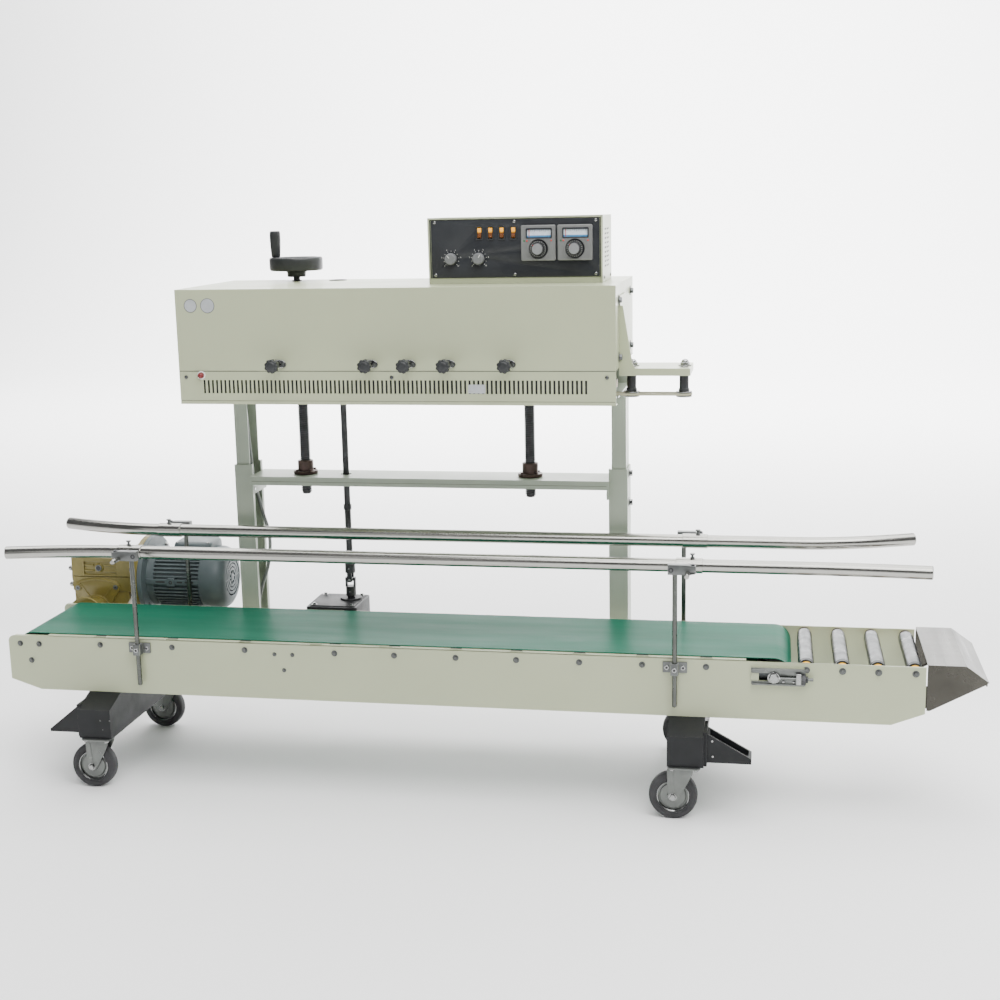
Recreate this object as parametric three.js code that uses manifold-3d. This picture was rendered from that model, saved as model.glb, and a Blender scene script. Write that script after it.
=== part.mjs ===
// Continuous band sealer: a belt conveyor on four casters, a stand with two
// telescopic columns behind it, and a sealing head that two screws raise and lower.
// Millimetres. X runs along the conveyor from its drive end to its infeed end,
// Y runs from the operator's side to the back, Z is up.
import * as THREE from 'three';
import { mergeVertices } from 'three/addons/utils/BufferGeometryUtils.js';
import Module from 'manifold-3d';

const wasm = await Module();
wasm.setup();

// ---------------------------------------------------------------- driving dimensions
const GAP = 0.3;                 // clearance between pieces that touch
const SHEET = 3;                 // gauge of the folded side plates, columns and beams

const PLATE = { length: 1970, bottom: 209.3, top: 332, width: 270, flange: 10, foot: 25 };
const ROLLER = { radius: 33.4, z: 301, driveX: 52, tailX: 1672.5, inset: 13 };
const BELT = { inset: 11, inner: 34.3, thickness: 1.7 };
const BED = { start: 95, end: 1617, top: 334.7, gauge: 2.4, edge: 2, leg: 30 };
const BED_BOLTS = [218, 385, 552, 710, 864, 1016, 1145, 1277, 1407, 1537];
const TAKE_UP = { padStart: 1629, padEnd: 1737, padLow: 287, padHigh: 322, axle: 8, out: 14 };
const GRAVITY = { radius: 16, z: 318, xs: [1737, 1808, 1878, 1950], stub: 5 };
const CHUTE = { start: 1972.5, fold: 2046, tip: 2090, top: 337, tipZ: 305, heel: 242, gauge: 2 };

const FOOT = { leftX: 221, rightX: 1499, width: 74, bottom: 123, top: 209, front: -62, back: 395 };
const OUTRIGGER = {
  leftLength: 75, rightLength: 95, front: -48, back: -3, low: 130, high: 190, leftTip: 136,
  rightTip: 141,
};
const CASTER = { xs: [222, 1497], ys: [-26, 359.5], wheel: 50, tread: 26, trail: 24 };

const POST = { xs: [311, 1474], radius: 5, low: 233, high: 524, frontY: -12, rearY: 290 };
const RAIL = { radius: 14, wall: 1.5, z: 517.6, frontY: 44, rearY: 265 };
const FLARE = {
  length: 230,
  front: { start: 8, end: 1978, startOffset: 35, endOffset: 12 },
  rear: { start: 8, end: 1966, startOffset: 50, endOffset: 62 },
};
const ROD = { radius: 5, spread: 26, tail: 40 };
const CLAMP = { beyondPost: 14, beyondRod: 16, low: 512, high: 534 };

const STAND = { y0: 310, y1: 383, low: 249, high: 666, width: 42, lip: 12 };
const COLUMN_X = { left: 433, right: 1348 };
const INNER = { y0: 314.5, y1: 378.5, width: 32, low: 400, leftX: 437, rightX: 1344.5 };
const BASE_RAIL = { x0: 170, x1: 1535, y0: 313, y1: 380, z0: 209.3, z1: 250 };
const CROSSBEAM = { y0: 296, y1: 396, z0: 621, z1: 641, x0: 474, x1: 1307.5 };

const LIFT_Y = 346;
const LIFT = { leftX: 594, rightX: 1124, radius: 12, low: 594 };
const SHAFT = { x: 691, y: 346, low: 305, top: 1080 };

const HEAD = { x0: 427.7, x1: 1352.7, y0: 34.6, y1: 390.3, bottom: 846, seam: 916, top: 1086 };
const BASE = { x0: 437, x1: 1345, rearY: 152, backY: 386, frontY0: 62, frontY1: 118 };
const BRIDGE_XS = [478, 890, 1302];
const VENT = { count: 89, first: 482.7, pitch: 9.2, width: 4.4, low: 869, high: 897 };
const KNOB = { xs: [649, 845.8, 926.4, 1009, 1133.5], z: 931, radius: 14.8, lobes: 7 };
const BOX = { x0: 950, x1: 1315, y0: 144.5, y1: 307.7, z0: 1086.3, z1: 1221.6, gauge: 2 };
const ROCKER = { xs: [1059.2, 1082.3, 1106.1, 1130.4], z: 1190, width: 8 };
const POT = { xs: [998.4, 1057.1], z: 1137.6, radius: 12.7 };
const DIAL = { xs: [1183.2, 1258.9], z: 1156, radius: 13.3, skirt: 18.5 };
const WHEEL = { radius: 60, low: 1095, rim: 1109, high: 1139, gripRadius: 47 };
const ARM = { x0: 1353, x1: 1497, y0: 92, y1: 204, z0: 900, z1: 915, spindleY: 118 };
const SPINDLE_XS = [1376, 1483];
const GEARBOX = { y: 374, wormZ: 379 };
const BEVEL = { x0: 603, x1: 724, y1: 392, z0: 255, z1: 340 };

const FINISH = {
  cream: { color: 0xb9bda6, roughness: 0.42, metalness: 0.0 },
  stainless: { color: 0xc9c9c4, roughness: 0.22, metalness: 1.0 },
  zinc: { color: 0xb4b6b8, roughness: 0.34, metalness: 0.9 },
  belt: { color: 0x0e6a52, roughness: 0.3, metalness: 0.0 },
  black: { color: 0x1d1f22, roughness: 0.5, metalness: 0.0 },
  plastic: { color: 0x202326, roughness: 0.38, metalness: 0.0 },
  tyre: { color: 0x26272a, roughness: 0.75, metalness: 0.0 },
  gold: { color: 0x8a7a34, roughness: 0.4, metalness: 0.2 },
  motor: { color: 0x6c7f86, roughness: 0.45, metalness: 0.1 },
  bronze: { color: 0x4a2d24, roughness: 0.5, metalness: 0.5 },
  steel: { color: 0x8e9092, roughness: 0.35, metalness: 0.9 },
  amber: { color: 0xe07a14, roughness: 0.25, metalness: 0.0 },
  grey: { color: 0x9a9c9b, roughness: 0.35, metalness: 0.2 },
};

// ---------------------------------------------------------------- shape helpers
function toSolid(geometry) {
  const bare = geometry.clone();
  bare.deleteAttribute('normal');
  bare.deleteAttribute('uv');
  const welded = mergeVertices(bare, 1e-4);
  const positions = new Float32Array(welded.getAttribute('position').array);
  const triangles = new Uint32Array(welded.index.array);
  const make = () => new wasm.Manifold(
    new wasm.Mesh({ numProp: 3, vertProperties: positions, triVerts: triangles }),
  );
  const solid = make();
  if (solid.volume() >= 0) return solid;
  for (let i = 0; i < triangles.length; i += 3) {
    [triangles[i], triangles[i + 1]] = [triangles[i + 1], triangles[i]];
  }
  return make();
}

function toGeometry(solid) {
  const mesh = solid.getMesh();
  const geometry = new THREE.BufferGeometry();
  geometry.setAttribute('position', new THREE.BufferAttribute(mesh.vertProperties, 3));
  geometry.setIndex(new THREE.BufferAttribute(mesh.triVerts, 1));
  geometry.computeVertexNormals();
  return geometry;
}

function join(first, ...others) {
  return others.reduce((whole, piece) => whole.add(piece), first);
}

function cut(first, ...tools) {
  return tools.reduce((whole, tool) => whole.subtract(tool), first);
}

function box(xa, xb, ya, yb, za, zb) {
  const geometry = new THREE.BoxGeometry(Math.abs(xb - xa), Math.abs(yb - ya), Math.abs(zb - za));
  geometry.translate((xa + xb) / 2, (ya + yb) / 2, (za + zb) / 2);
  return toSolid(geometry);
}

// A cylinder along X, Y or Z. u and v are the two coordinates across that axis, in X, Y, Z order.
function rod(axis, radius, from, to, u, v, sides = 12) {
  const geometry = new THREE.CylinderGeometry(radius, radius, Math.abs(to - from), sides);
  const middle = (from + to) / 2;
  if (axis === 'x') {
    geometry.rotateZ(Math.PI / 2);
    geometry.translate(middle, u, v);
  } else if (axis === 'y') {
    geometry.translate(u, middle, v);
  } else {
    geometry.rotateX(Math.PI / 2);
    geometry.translate(u, v, middle);
  }
  return toSolid(geometry);
}

function outline(points) {
  return new THREE.Shape(points.map(([a, b]) => new THREE.Vector2(a, b)));
}

// An outline in X and Y, raised from z0 to z1.
function prismZ(shape, z0, z1, curveSegments = 12) {
  const geometry = new THREE.ExtrudeGeometry(
    shape,
    { depth: z1 - z0, bevelEnabled: false, curveSegments },
  );
  geometry.translate(0, 0, z0);
  return toSolid(geometry);
}

// An outline in X and Z, extruded from y0 to y1.
function prismY(shape, y0, y1, curveSegments = 12) {
  const geometry = new THREE.ExtrudeGeometry(
    shape,
    { depth: Math.abs(y1 - y0), bevelEnabled: false, curveSegments },
  );
  geometry.rotateX(Math.PI / 2);
  geometry.translate(0, Math.max(y0, y1), 0);
  return toSolid(geometry);
}

// An outline in Y and Z, extruded from x0 to x1.
function prismX(shape, x0, x1, curveSegments = 12) {
  const geometry = new THREE.ExtrudeGeometry(
    shape,
    { depth: x1 - x0, bevelEnabled: false, curveSegments },
  );
  const turn = new THREE.Matrix4().makeBasis(
    new THREE.Vector3(0, 1, 0),
    new THREE.Vector3(0, 0, 1),
    new THREE.Vector3(1, 0, 0),
  );
  geometry.applyMatrix4(turn);
  geometry.translate(x0, 0, 0);
  return toSolid(geometry);
}

// A turned piece about a local Z axis, from [radius, height] points.
function turned(profile, sides) {
  const points = profile.map(([radius, height]) => new THREE.Vector2(radius, height));
  const geometry = new THREE.LatheGeometry(points, sides);
  geometry.rotateX(Math.PI / 2);
  return toSolid(geometry);
}

// ---------------------------------------------------------------- assembly helpers
const machine = new THREE.Group();
const conveyor = new THREE.Group();
const stand = new THREE.Group();
const head = new THREE.Group();
machine.add(conveyor, stand, head);

function place(parent, name, solid, finish, x = 0, y = 0, z = 0) {
  const mesh = new THREE.Mesh(toGeometry(solid), new THREE.MeshStandardMaterial(FINISH[finish]));
  mesh.name = name;
  mesh.position.set(x, y, z);
  parent.add(mesh);
  return mesh;
}

// ---------------------------------------------------------------- conveyor frame
// One folded side plate. toY turns a distance in from the outer face into a Y position.
function sidePlate(toY, postOut) {
  const corner = 14;
  const shape = new THREE.Shape();
  shape.moveTo(0, 232);
  shape.lineTo(70, PLATE.bottom);
  shape.lineTo(1905, PLATE.bottom);
  shape.lineTo(PLATE.length, 235);
  shape.lineTo(PLATE.length, PLATE.top);
  shape.lineTo(corner, PLATE.top);
  shape.absarc(corner, PLATE.top - corner, corner, Math.PI / 2, Math.PI, false);
  let plate = join(
    prismY(shape, toY(0), toY(SHEET), 4),
    box(corner, BED.end, toY(0), toY(PLATE.flange), PLATE.top - SHEET, PLATE.top),
    box(70, 1905, toY(0), toY(PLATE.foot), PLATE.bottom, PLATE.bottom + SHEET),
    box(TAKE_UP.padStart, TAKE_UP.padEnd, toY(-SHEET), toY(1), TAKE_UP.padLow, TAKE_UP.padHigh),
  );
  for (const x of POST.xs) {
    const lug = box(x - 8, x + 8, toY(-postOut - 9), toY(1), 303, 325.6);
    plate = cut(join(plate, lug), rod('z', POST.radius + 0.4, 300, 340, x, toY(-postOut)));
  }
  const slotHalf = TAKE_UP.axle + 0.6;
  const slot = box(1643, 1683, toY(-9), toY(9), ROLLER.z - slotHalf, ROLLER.z + slotHalf);
  plate = cut(plate, slot);
  for (const x of GRAVITY.xs) {
    plate = cut(plate, rod('y', GRAVITY.stub + 0.4, toY(-9), toY(9), x, GRAVITY.z));
  }
  return plate;
}

function sliderBed() {
  const { start, end, top, gauge, edge, leg } = BED;
  const far = PLATE.width;
  let bed = join(
    box(start, end, edge, far - edge, top - gauge, top),
    box(start, end, BELT.inset + 1, BELT.inset + 3, top - leg, top - 1),
    box(start, end, far - BELT.inset - 3, far - BELT.inset - 1, top - leg, top - 1),
  );
  for (const x of BED_BOLTS) {
    bed = cut(
      bed,
      box(x - 14, x + 14, edge - 1, edge + 3, top - 9, top + 1),
      box(x - 14, x + 14, far - edge - 3, far - edge + 1, top - 9, top + 1),
    );
  }
  return bed;
}

function beltLoop() {
  const shape = new THREE.Shape();
  const outer = BELT.inner + BELT.thickness;
  shape.absarc(ROLLER.driveX, ROLLER.z, outer, Math.PI / 2, 1.5 * Math.PI, false);
  shape.absarc(ROLLER.tailX, ROLLER.z, outer, -Math.PI / 2, Math.PI / 2, false);
  const hollow = new THREE.Path();
  hollow.absarc(ROLLER.driveX, ROLLER.z, BELT.inner, Math.PI / 2, 1.5 * Math.PI, false);
  hollow.absarc(ROLLER.tailX, ROLLER.z, BELT.inner, -Math.PI / 2, Math.PI / 2, false);
  shape.holes.push(hollow);
  return prismY(shape, BELT.inset, PLATE.width - BELT.inset, 10);
}

function driveRoller() {
  return join(
    rod('y', ROLLER.radius, ROLLER.inset, PLATE.width - ROLLER.inset, 0, 0, 20),
    rod('y', 10, 4, 350, 0, 0),
  );
}

function tailRoller() {
  return cut(
    rod('y', ROLLER.radius, ROLLER.inset, PLATE.width - ROLLER.inset, 0, 0, 20),
    rod('y', TAKE_UP.axle + 0.4, 0, PLATE.width, 0, 0),
  );
}

function gravityRoller() {
  return join(
    rod('y', GRAVITY.radius, 14, PLATE.width - 14, 0, 0),
    rod('y', GRAVITY.stub, 0.4, PLATE.width - 0.4, 0, 0),
  );
}

function infeedChute() {
  const { start, fold, tip, top, tipZ, heel, gauge } = CHUTE;
  const skin = prismY(
    outline([[start, top], [fold, top], [tip, tipZ], [start + 6, heel], [start, heel]]),
    0,
    PLATE.width,
  );
  const room = prismY(
    outline([
      [start - 9, top - gauge], [fold - 0.7, top - gauge], [tip - 3, tipZ - 0.5],
      [tip - 3, heel - 50], [start - 9, heel - 50],
    ]),
    gauge,
    PLATE.width - gauge,
  );
  return join(
    cut(skin, room),
    box(start - 16, start + 4, SHEET + GAP, SHEET + GAP + 2, 246, 292),
    box(start + 1, start + 4, 0.5, SHEET + GAP + 2, 246, 292),
    box(start - 16, start + 4, PLATE.width - SHEET - GAP - 2, PLATE.width - SHEET - GAP, 246, 292),
    box(start + 1, start + 4, PLATE.width - SHEET - GAP - 2, PLATE.width - 0.5, 246, 292),
  );
}

// A black foot beam across the machine, with an outrigger on its outer side.
function footBeam(outward) {
  const half = FOOT.width / 2;
  const wall = 4;
  const { bottom, top, front, back } = FOOT;
  const body = prismX(
    outline([[front, bottom], [back, bottom], [back, top], [0, top], [front, top - 21]]),
    -half,
    half,
  );
  const hollow = prismX(
    outline([
      [front + wall, bottom + wall], [back + 9, bottom + wall], [back + 9, top - wall],
      [1, top - wall], [front + wall, top - 24],
    ]),
    -half + wall,
    half - wall,
  );
  const side = (distance) => outward * (half + distance);
  const { low, high } = OUTRIGGER;
  const length = outward < 0 ? OUTRIGGER.leftLength : OUTRIGGER.rightLength;
  const tipHigh = outward < 0 ? OUTRIGGER.leftTip : OUTRIGGER.rightTip;
  const web = prismY(
    outline([
      [side(-1), low], [side(-1), high], [side(8), high], [side(length), tipHigh],
      [side(length), low],
    ]),
    OUTRIGGER.front,
    OUTRIGGER.back,
  );
  const pocket = box(
    side(11), side(length - 6), OUTRIGGER.front + 6, OUTRIGGER.back - 6, low + 6, high + 9,
  );
  const flange = box(side(-1), side(6), OUTRIGGER.front - 6, OUTRIGGER.back + 18, bottom + 1, 196);
  let beam = join(cut(body, hollow), flange, cut(web, pocket));
  for (const y of CASTER.ys) {
    const x = outward < 0 ? CASTER.xs[0] - FOOT.leftX : CASTER.xs[1] - FOOT.rightX;
    beam = cut(beam, rod('z', 6.4, bottom - 5, bottom + 9, x, y));
  }
  return beam;
}

// ---------------------------------------------------------------- casters
// The local origin is on the swivel axis, on the floor.
function casterFork() {
  const cheek = [
    [-36, 107], [17, 107], [12, 97], [-12, 47], [-16, 41], [-29, 41], [-33, 47],
  ];
  return join(
    rod('z', 26, 111, 119.7, 0, 0),
    rod('z', 6, 119, 128, 0, 0),
    box(-36, 17, -17.5, 17.5, 106.5, 112),
    prismY(outline(cheek), -17.5, -15),
    prismY(outline(cheek), 15, 17.5),
    rod('y', 5, -19, 19, -CASTER.trail, CASTER.wheel),
  );
}

// The local origin is at the wheel's centre; its axle lies along Y.
function casterWheel() {
  const sides = 16;
  const tread = CASTER.wheel / Math.cos(Math.PI / sides);
  const half = CASTER.tread / 2;
  const profile = [
    [5.4, -14.5], [10, -14.5], [11, -7], [32, -7], [35, -half], [tread - 4, -half],
    [tread, -half + 4], [tread, half - 4], [tread - 4, half], [35, half], [32, 7],
    [11, 7], [10, 14.5], [5.4, 14.5], [5.4, -14.5],
  ];
  const points = profile.map(([radius, height]) => new THREE.Vector2(radius, height));
  return toSolid(new THREE.LatheGeometry(points, sides, Math.PI / sides));
}

// ---------------------------------------------------------------- guide rails
// A post with the cross clamp at its top. The local origin is on the post's axis.
function railPost(towardsEnd) {
  const rodX = towardsEnd * ROD.spread;
  const nearX = -towardsEnd * CLAMP.beyondPost;
  const farX = rodX + towardsEnd * CLAMP.beyondRod;
  const clamp = box(Math.min(nearX, farX), Math.max(nearX, farX), -9, 9, CLAMP.low, CLAMP.high);
  return cut(
    join(rod('z', POST.radius, POST.low, POST.high, 0, 0), clamp),
    rod('y', ROD.radius + 0.4, -20, 20, rodX, RAIL.z),
  );
}

// The rail's centre line: straight, with each end swept smoothly outwards.
class RailLine extends THREE.Curve {
  constructor(y, outward, ends) {
    super();
    this.y = y;
    this.outward = outward;
    this.ends = ends;
    const bend = [0, 0.2, 0.4, 0.6, 0.8, 1].map((share) => share * FLARE.length);
    this.stations = [
      ...bend.map((distance) => ends.start + distance),
      ...bend.map((distance) => ends.end - distance).reverse(),
    ];
  }

  getPoint(t, target = new THREE.Vector3()) {
    const place = t * (this.stations.length - 1);
    const index = Math.min(Math.floor(place), this.stations.length - 2);
    const share = place - index;
    const x = THREE.MathUtils.lerp(this.stations[index], this.stations[index + 1], share);
    const atStart = Math.max(this.ends.start + FLARE.length - x, 0) / FLARE.length;
    const atEnd = Math.max(x - (this.ends.end - FLARE.length), 0) / FLARE.length;
    const shift = this.ends.startOffset * atStart ** 1.6 + this.ends.endOffset * atEnd ** 1.6;
    return target.set(x, this.y + this.outward * shift, RAIL.z);
  }

  getPointAt(u, target) {
    return this.getPoint(u, target);
  }

  getTangentAt(u, target) {
    return this.getTangent(u, target);
  }
}

function guideRail(y, outward) {
  const section = new THREE.Shape();
  section.absarc(0, 0, RAIL.radius, 0, 2 * Math.PI, false);
  const bore = new THREE.Path();
  bore.absarc(0, 0, RAIL.radius - RAIL.wall, 0, 2 * Math.PI, true);
  section.holes.push(bore);
  const line = new RailLine(y, outward, outward < 0 ? FLARE.front : FLARE.rear);
  const geometry = new THREE.ExtrudeGeometry(
    section,
    { steps: line.stations.length - 1, extrudePath: line, bevelEnabled: false, curveSegments: 6 },
  );
  let rail = toSolid(geometry);
  const edge = outward < 0 ? POST.frontY : POST.rearY;
  POST.xs.forEach((x, index) => {
    const rodX = x + (index === 0 ? -ROD.spread : ROD.spread);
    const sleeve = cut(
      rod('x', RAIL.radius + 1.4, rodX - 26, rodX + 26, y, RAIL.z),
      rod('x', RAIL.radius - 0.6, rodX - 30, rodX + 30, y, RAIL.z),
    );
    const arm = rod('y', ROD.radius, y + outward * RAIL.radius, edge + outward * ROD.tail,
      rodX, RAIL.z);
    rail = join(rail, sleeve, arm);
  });
  return rail;
}

// ---------------------------------------------------------------- stand
// A lipped channel column, open towards the middle of the machine.
function lippedChannel(x0, x1, y0, y1, lip, z0, z1) {
  const inward = Math.sign(x1 - x0);
  const t = SHEET;
  const points = [
    [x0, y0], [x1, y0], [x1, y0 + lip], [x1 - inward * t, y0 + lip],
    [x1 - inward * t, y0 + t], [x0 + inward * t, y0 + t], [x0 + inward * t, y1 - t],
    [x1 - inward * t, y1 - t], [x1 - inward * t, y1 - lip], [x1, y1 - lip], [x1, y1], [x0, y1],
  ];
  return prismZ(outline(points), z0, z1);
}

function plainChannel(x0, x1, y0, y1, z0, z1) {
  const inward = Math.sign(x1 - x0);
  const t = SHEET;
  const points = [
    [x0, y0], [x1, y0], [x1, y0 + t], [x0 + inward * t, y0 + t], [x0 + inward * t, y1 - t],
    [x1, y1 - t], [x1, y1], [x0, y1],
  ];
  return prismZ(outline(points), z0, z1);
}

function standFrame() {
  const rail = cut(
    box(BASE_RAIL.x0, BASE_RAIL.x1, BASE_RAIL.y0, BASE_RAIL.y1, BASE_RAIL.z0, BASE_RAIL.z1),
    box(
      BASE_RAIL.x0 - 9, BASE_RAIL.x1 + 9, BASE_RAIL.y0 + SHEET, BASE_RAIL.y1 - SHEET,
      BASE_RAIL.z0 + SHEET, BASE_RAIL.z1 - SHEET,
    ),
  );
  const { y0, y1, low, high, width, lip } = STAND;
  const left = lippedChannel(COLUMN_X.left, COLUMN_X.left + width, y0, y1, lip, low, high);
  const right = lippedChannel(COLUMN_X.right, COLUMN_X.right - width, y0, y1, lip, low, high);
  const beam = cut(
    box(CROSSBEAM.x0, CROSSBEAM.x1, CROSSBEAM.y0, CROSSBEAM.y1, CROSSBEAM.z0, CROSSBEAM.z1),
    box(
      CROSSBEAM.x0 - 9, CROSSBEAM.x1 + 9, CROSSBEAM.y0 + SHEET, CROSSBEAM.y1 - SHEET,
      CROSSBEAM.z0 - 9, CROSSBEAM.z1 - SHEET,
    ),
    rod('z', 14, 600, 660, LIFT.leftX, LIFT_Y),
    rod('z', 14, 600, 660, LIFT.rightX, LIFT_Y),
    rod('z', 13, 600, 660, SHAFT.x, SHAFT.y),
  );
  return join(rail, left, right, beam);
}

function liftNut() {
  return cut(
    join(rod('z', 28, CROSSBEAM.z1 + GAP, 649, 0, 0), rod('z', 18, 648, 673, 0, 0)),
    rod('z', LIFT.radius + 0.7, 630, 690, 0, 0),
  );
}

function bevelGearbox() {
  return cut(
    join(
      box(BEVEL.x0, BEVEL.x1, PLATE.width + GAP, BEVEL.y1, BEVEL.z0, BEVEL.z1),
      rod('z', 25.5, BEVEL.z1 - 1, BEVEL.z1 + 6, SHAFT.x, SHAFT.y),
    ),
    rod('z', 9, SHAFT.low - 5, BEVEL.z1 + 9, SHAFT.x, SHAFT.y),
  );
}

// The shaft from the bevel box up into the head. The local origin is on its axis.
function driveShaft() {
  return join(
    rod('z', 8.5, SHAFT.low, 354, 0, 0),
    rod('z', 10.5, 353, 425, 0, 0),
    rod('z', 5.4, 424, 561, 0, 0),
    rod('z', 7.2, 560, SHAFT.top, 0, 0),
  );
}

function wormGearbox() {
  const { y, wormZ } = GEARBOX;
  const hubStart = PLATE.width + GAP;
  return cut(
    join(
      rod('y', 58, y - 38, y + 38, ROLLER.driveX, ROLLER.z, 20),
      box(-8, 134, y - 38, y + 38, ROLLER.z, 350),
      box(-9, 150, y - 38, y + 38, 345, 428),
      rod('x', 36, -12, 150, y, wormZ, 20),
      rod('x', 98, 172, 184, y, wormZ, 20),
      rod('x', 62, 148, 174, y, wormZ, 20),
      rod('y', 31, hubStart, y, ROLLER.driveX, ROLLER.z),
      rod('y', 45, hubStart, hubStart + 6, ROLLER.driveX, ROLLER.z),
    ),
    rod('y', 10.5, hubStart - 9, 356, ROLLER.driveX, ROLLER.z),
  );
}

function motorHousing() {
  const { y, wormZ } = GEARBOX;
  return join(
    rod('x', 98, 184 + GAP, 196, y, wormZ, 20),
    rod('x', 72, 195, 332, y, wormZ, 20),
    rod('x', 76, 330, 388, y, wormZ, 20),
    box(258, 352, y - 42, y + 42, wormZ, 471),
  );
}

function wiringConduit() {
  const route = [
    [453, 346, HEAD.bottom - GAP], [454, 346, 800], [458, 346, 720], [463, 346, 650],
    [469, 346, 605], [484, 345, 545], [496, 344, 500], [497, 344, 460], [489, 345, 415],
    [473, 346, 370], [460, 346, 320], [456, 346, 280], [456, 346, BASE_RAIL.z1 + GAP],
  ].map(([x, y, z]) => new THREE.Vector3(x, y, z));
  const section = new THREE.Shape();
  section.absarc(0, 0, 4.4, 0, 2 * Math.PI, false);
  const geometry = new THREE.ExtrudeGeometry(section, {
    steps: 28,
    extrudePath: new THREE.CatmullRomCurve3(route),
    bevelEnabled: false,
    curveSegments: 4,
  });
  return toSolid(geometry);
}

// ---------------------------------------------------------------- sealing head
function headFrame() {
  const { x0, x1, rearY, backY, frontY0, frontY1 } = BASE;
  const floor = HEAD.bottom;
  let frame = join(
    box(x0, x1, rearY, backY, floor, floor + 4),
    box(x0, x1, backY - SHEET, backY, floor, HEAD.seam - 4),
    box(x0, x1, frontY0, frontY1, floor + 6, floor + 9),
    plainChannel(INNER.leftX, INNER.leftX + INNER.width, INNER.y0, INNER.y1, INNER.low, floor + 1),
    plainChannel(INNER.rightX, INNER.rightX - INNER.width, INNER.y0, INNER.y1, INNER.low, floor + 1),
  );
  for (const x of BRIDGE_XS) {
    frame = join(
      frame,
      box(x - 20, x + 20, frontY0, frontY0 + 6, floor + 6, 1000),
      box(x - 20, x + 20, 200, 206, floor, 1000),
      box(x - 20, x + 20, frontY0, 206, 994, 1000),
    );
  }
  return cut(
    frame,
    rod('z', LIFT.radius + 0.7, 840, 860, LIFT.leftX, LIFT_Y),
    rod('z', LIFT.radius + 0.7, 840, 860, LIFT.rightX, LIFT_Y),
    rod('z', 12, 840, 860, SHAFT.x, SHAFT.y),
  );
}

function headCover() {
  const { x0, x1, y0, y1, seam, top } = HEAD;
  const gauge = 2;
  let cover = cut(
    box(x0, x1, y0, y1, seam, top),
    box(x0 + gauge, x1 - gauge, y0 + gauge, y1 - gauge, seam - 9, top - gauge),
    rod('z', 9, top - 9, top + 9, LIFT.leftX, LIFT_Y),
    rod('z', 17, top - 9, top + 9, SHAFT.x, SHAFT.y),
    rod('z', 15, top - 9, top + 9, 1130, 226),
  );
  for (const x of KNOB.xs) {
    cover = cut(cover, box(x - 10, x + 12, y0 - 5, y0 + 5, KNOB.z - 6.5, KNOB.z + 6.5));
  }
  return cover;
}

function ventPanel() {
  const { x0, x1, y0, bottom, seam } = HEAD;
  const gauge = 2;
  let panel = join(
    box(x0, x1, y0, y0 + gauge, bottom, seam - GAP),
    box(x0, x1, y0, y0 + 24, bottom, bottom + gauge),
  );
  for (let i = 0; i < VENT.count; i += 1) {
    const x = VENT.first + i * VENT.pitch;
    const half = VENT.width / 2;
    panel = cut(panel, box(x - half, x + half, y0 - 5, y0 + 5, VENT.low, VENT.high));
  }
  return panel;
}

function controlBox() {
  const { x0, x1, y0, y1, z0, z1, gauge } = BOX;
  let shell = cut(
    box(x0, x1, y0, y1, z0, z1),
    box(x0 + gauge, x1 - gauge, y0 + gauge, y1 - gauge, z0 - 9, z1 - gauge),
  );
  for (const x of ROCKER.xs) {
    const half = ROCKER.width / 2 + 0.6;
    shell = cut(shell, box(x - half, x + half, y0 - 5, y0 + 5, ROCKER.z - 12.6, ROCKER.z + 12.6));
  }
  for (const x of POT.xs) {
    shell = cut(shell, rod('y', 4.4, y0 - 5, y0 + 5, x, POT.z));
  }
  for (const x of DIAL.xs) {
    shell = cut(shell, rod('y', 5.4, y0 - 5, y0 + 5, x, DIAL.z));
  }
  return shell;
}

// The handwheel turns about a local Z axis; its grip stands at -X.
function handwheel() {
  const { radius, low, rim, high, gripRadius } = WHEEL;
  const bore = 7.9;
  const wheel = turned([
    [bore, low], [21, low], [21, low + 10], [28, rim], [radius - 3, rim], [radius, rim + 4],
    [radius, high - 3], [radius - 3, high], [radius - 12, high], [radius - 15, high - 4],
    [radius - 17, rim + 8], [19, rim + 8], [19, high - 12], [bore, high - 12], [bore, low],
  ], 20);
  const boss = rod('z', 10, rim + 1, high, -gripRadius, 0);
  return cut(join(wheel, boss), rod('z', 4.4, rim + 4, high + 9, -gripRadius, 0));
}

function crankGrip() {
  const { rim, high } = WHEEL;
  return turned([
    [0, rim + 8], [4, rim + 8], [4, high + GAP], [9.8, high + GAP], [11.4, high + 10],
    [12.2, high + 48], [11.4, high + 57], [0, high + 59],
  ]);
}

function leftLiftScrew() {
  return join(
    rod('z', LIFT.radius, LIFT.low, 857, 0, 0),
    rod('z', 19, HEAD.bottom + 4 + GAP, 858, 0, 0),
    rod('z', 7.4, 856, WHEEL.rim + 6, 0, 0),
  );
}

function rightLiftScrew() {
  return join(
    rod('z', LIFT.radius, LIFT.low, 857, 0, 0),
    rod('z', 19, HEAD.bottom + 4 + GAP, 858, 0, 0),
    rod('z', 9, 856, 905, 0, 0),
  );
}

// A lobed clamping knob on a spindle along Y. The local origin is on its axis at Y = 0.
function pressureKnob() {
  const shape = new THREE.Shape();
  const steps = KNOB.lobes * 4;
  for (let i = 0; i < steps; i += 1) {
    const angle = (i / steps) * 2 * Math.PI;
    const radius = KNOB.radius - 1.3 + 1.3 * Math.cos(angle * KNOB.lobes);
    shape[i === 0 ? 'moveTo' : 'lineTo'](radius * Math.cos(angle), radius * Math.sin(angle));
  }
  return join(
    prismY(shape, -21, -6),
    rod('y', 8, -7, 16, 0, 0),
    rod('y', 4.5, 15, 60, 0, 0),
  );
}

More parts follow.
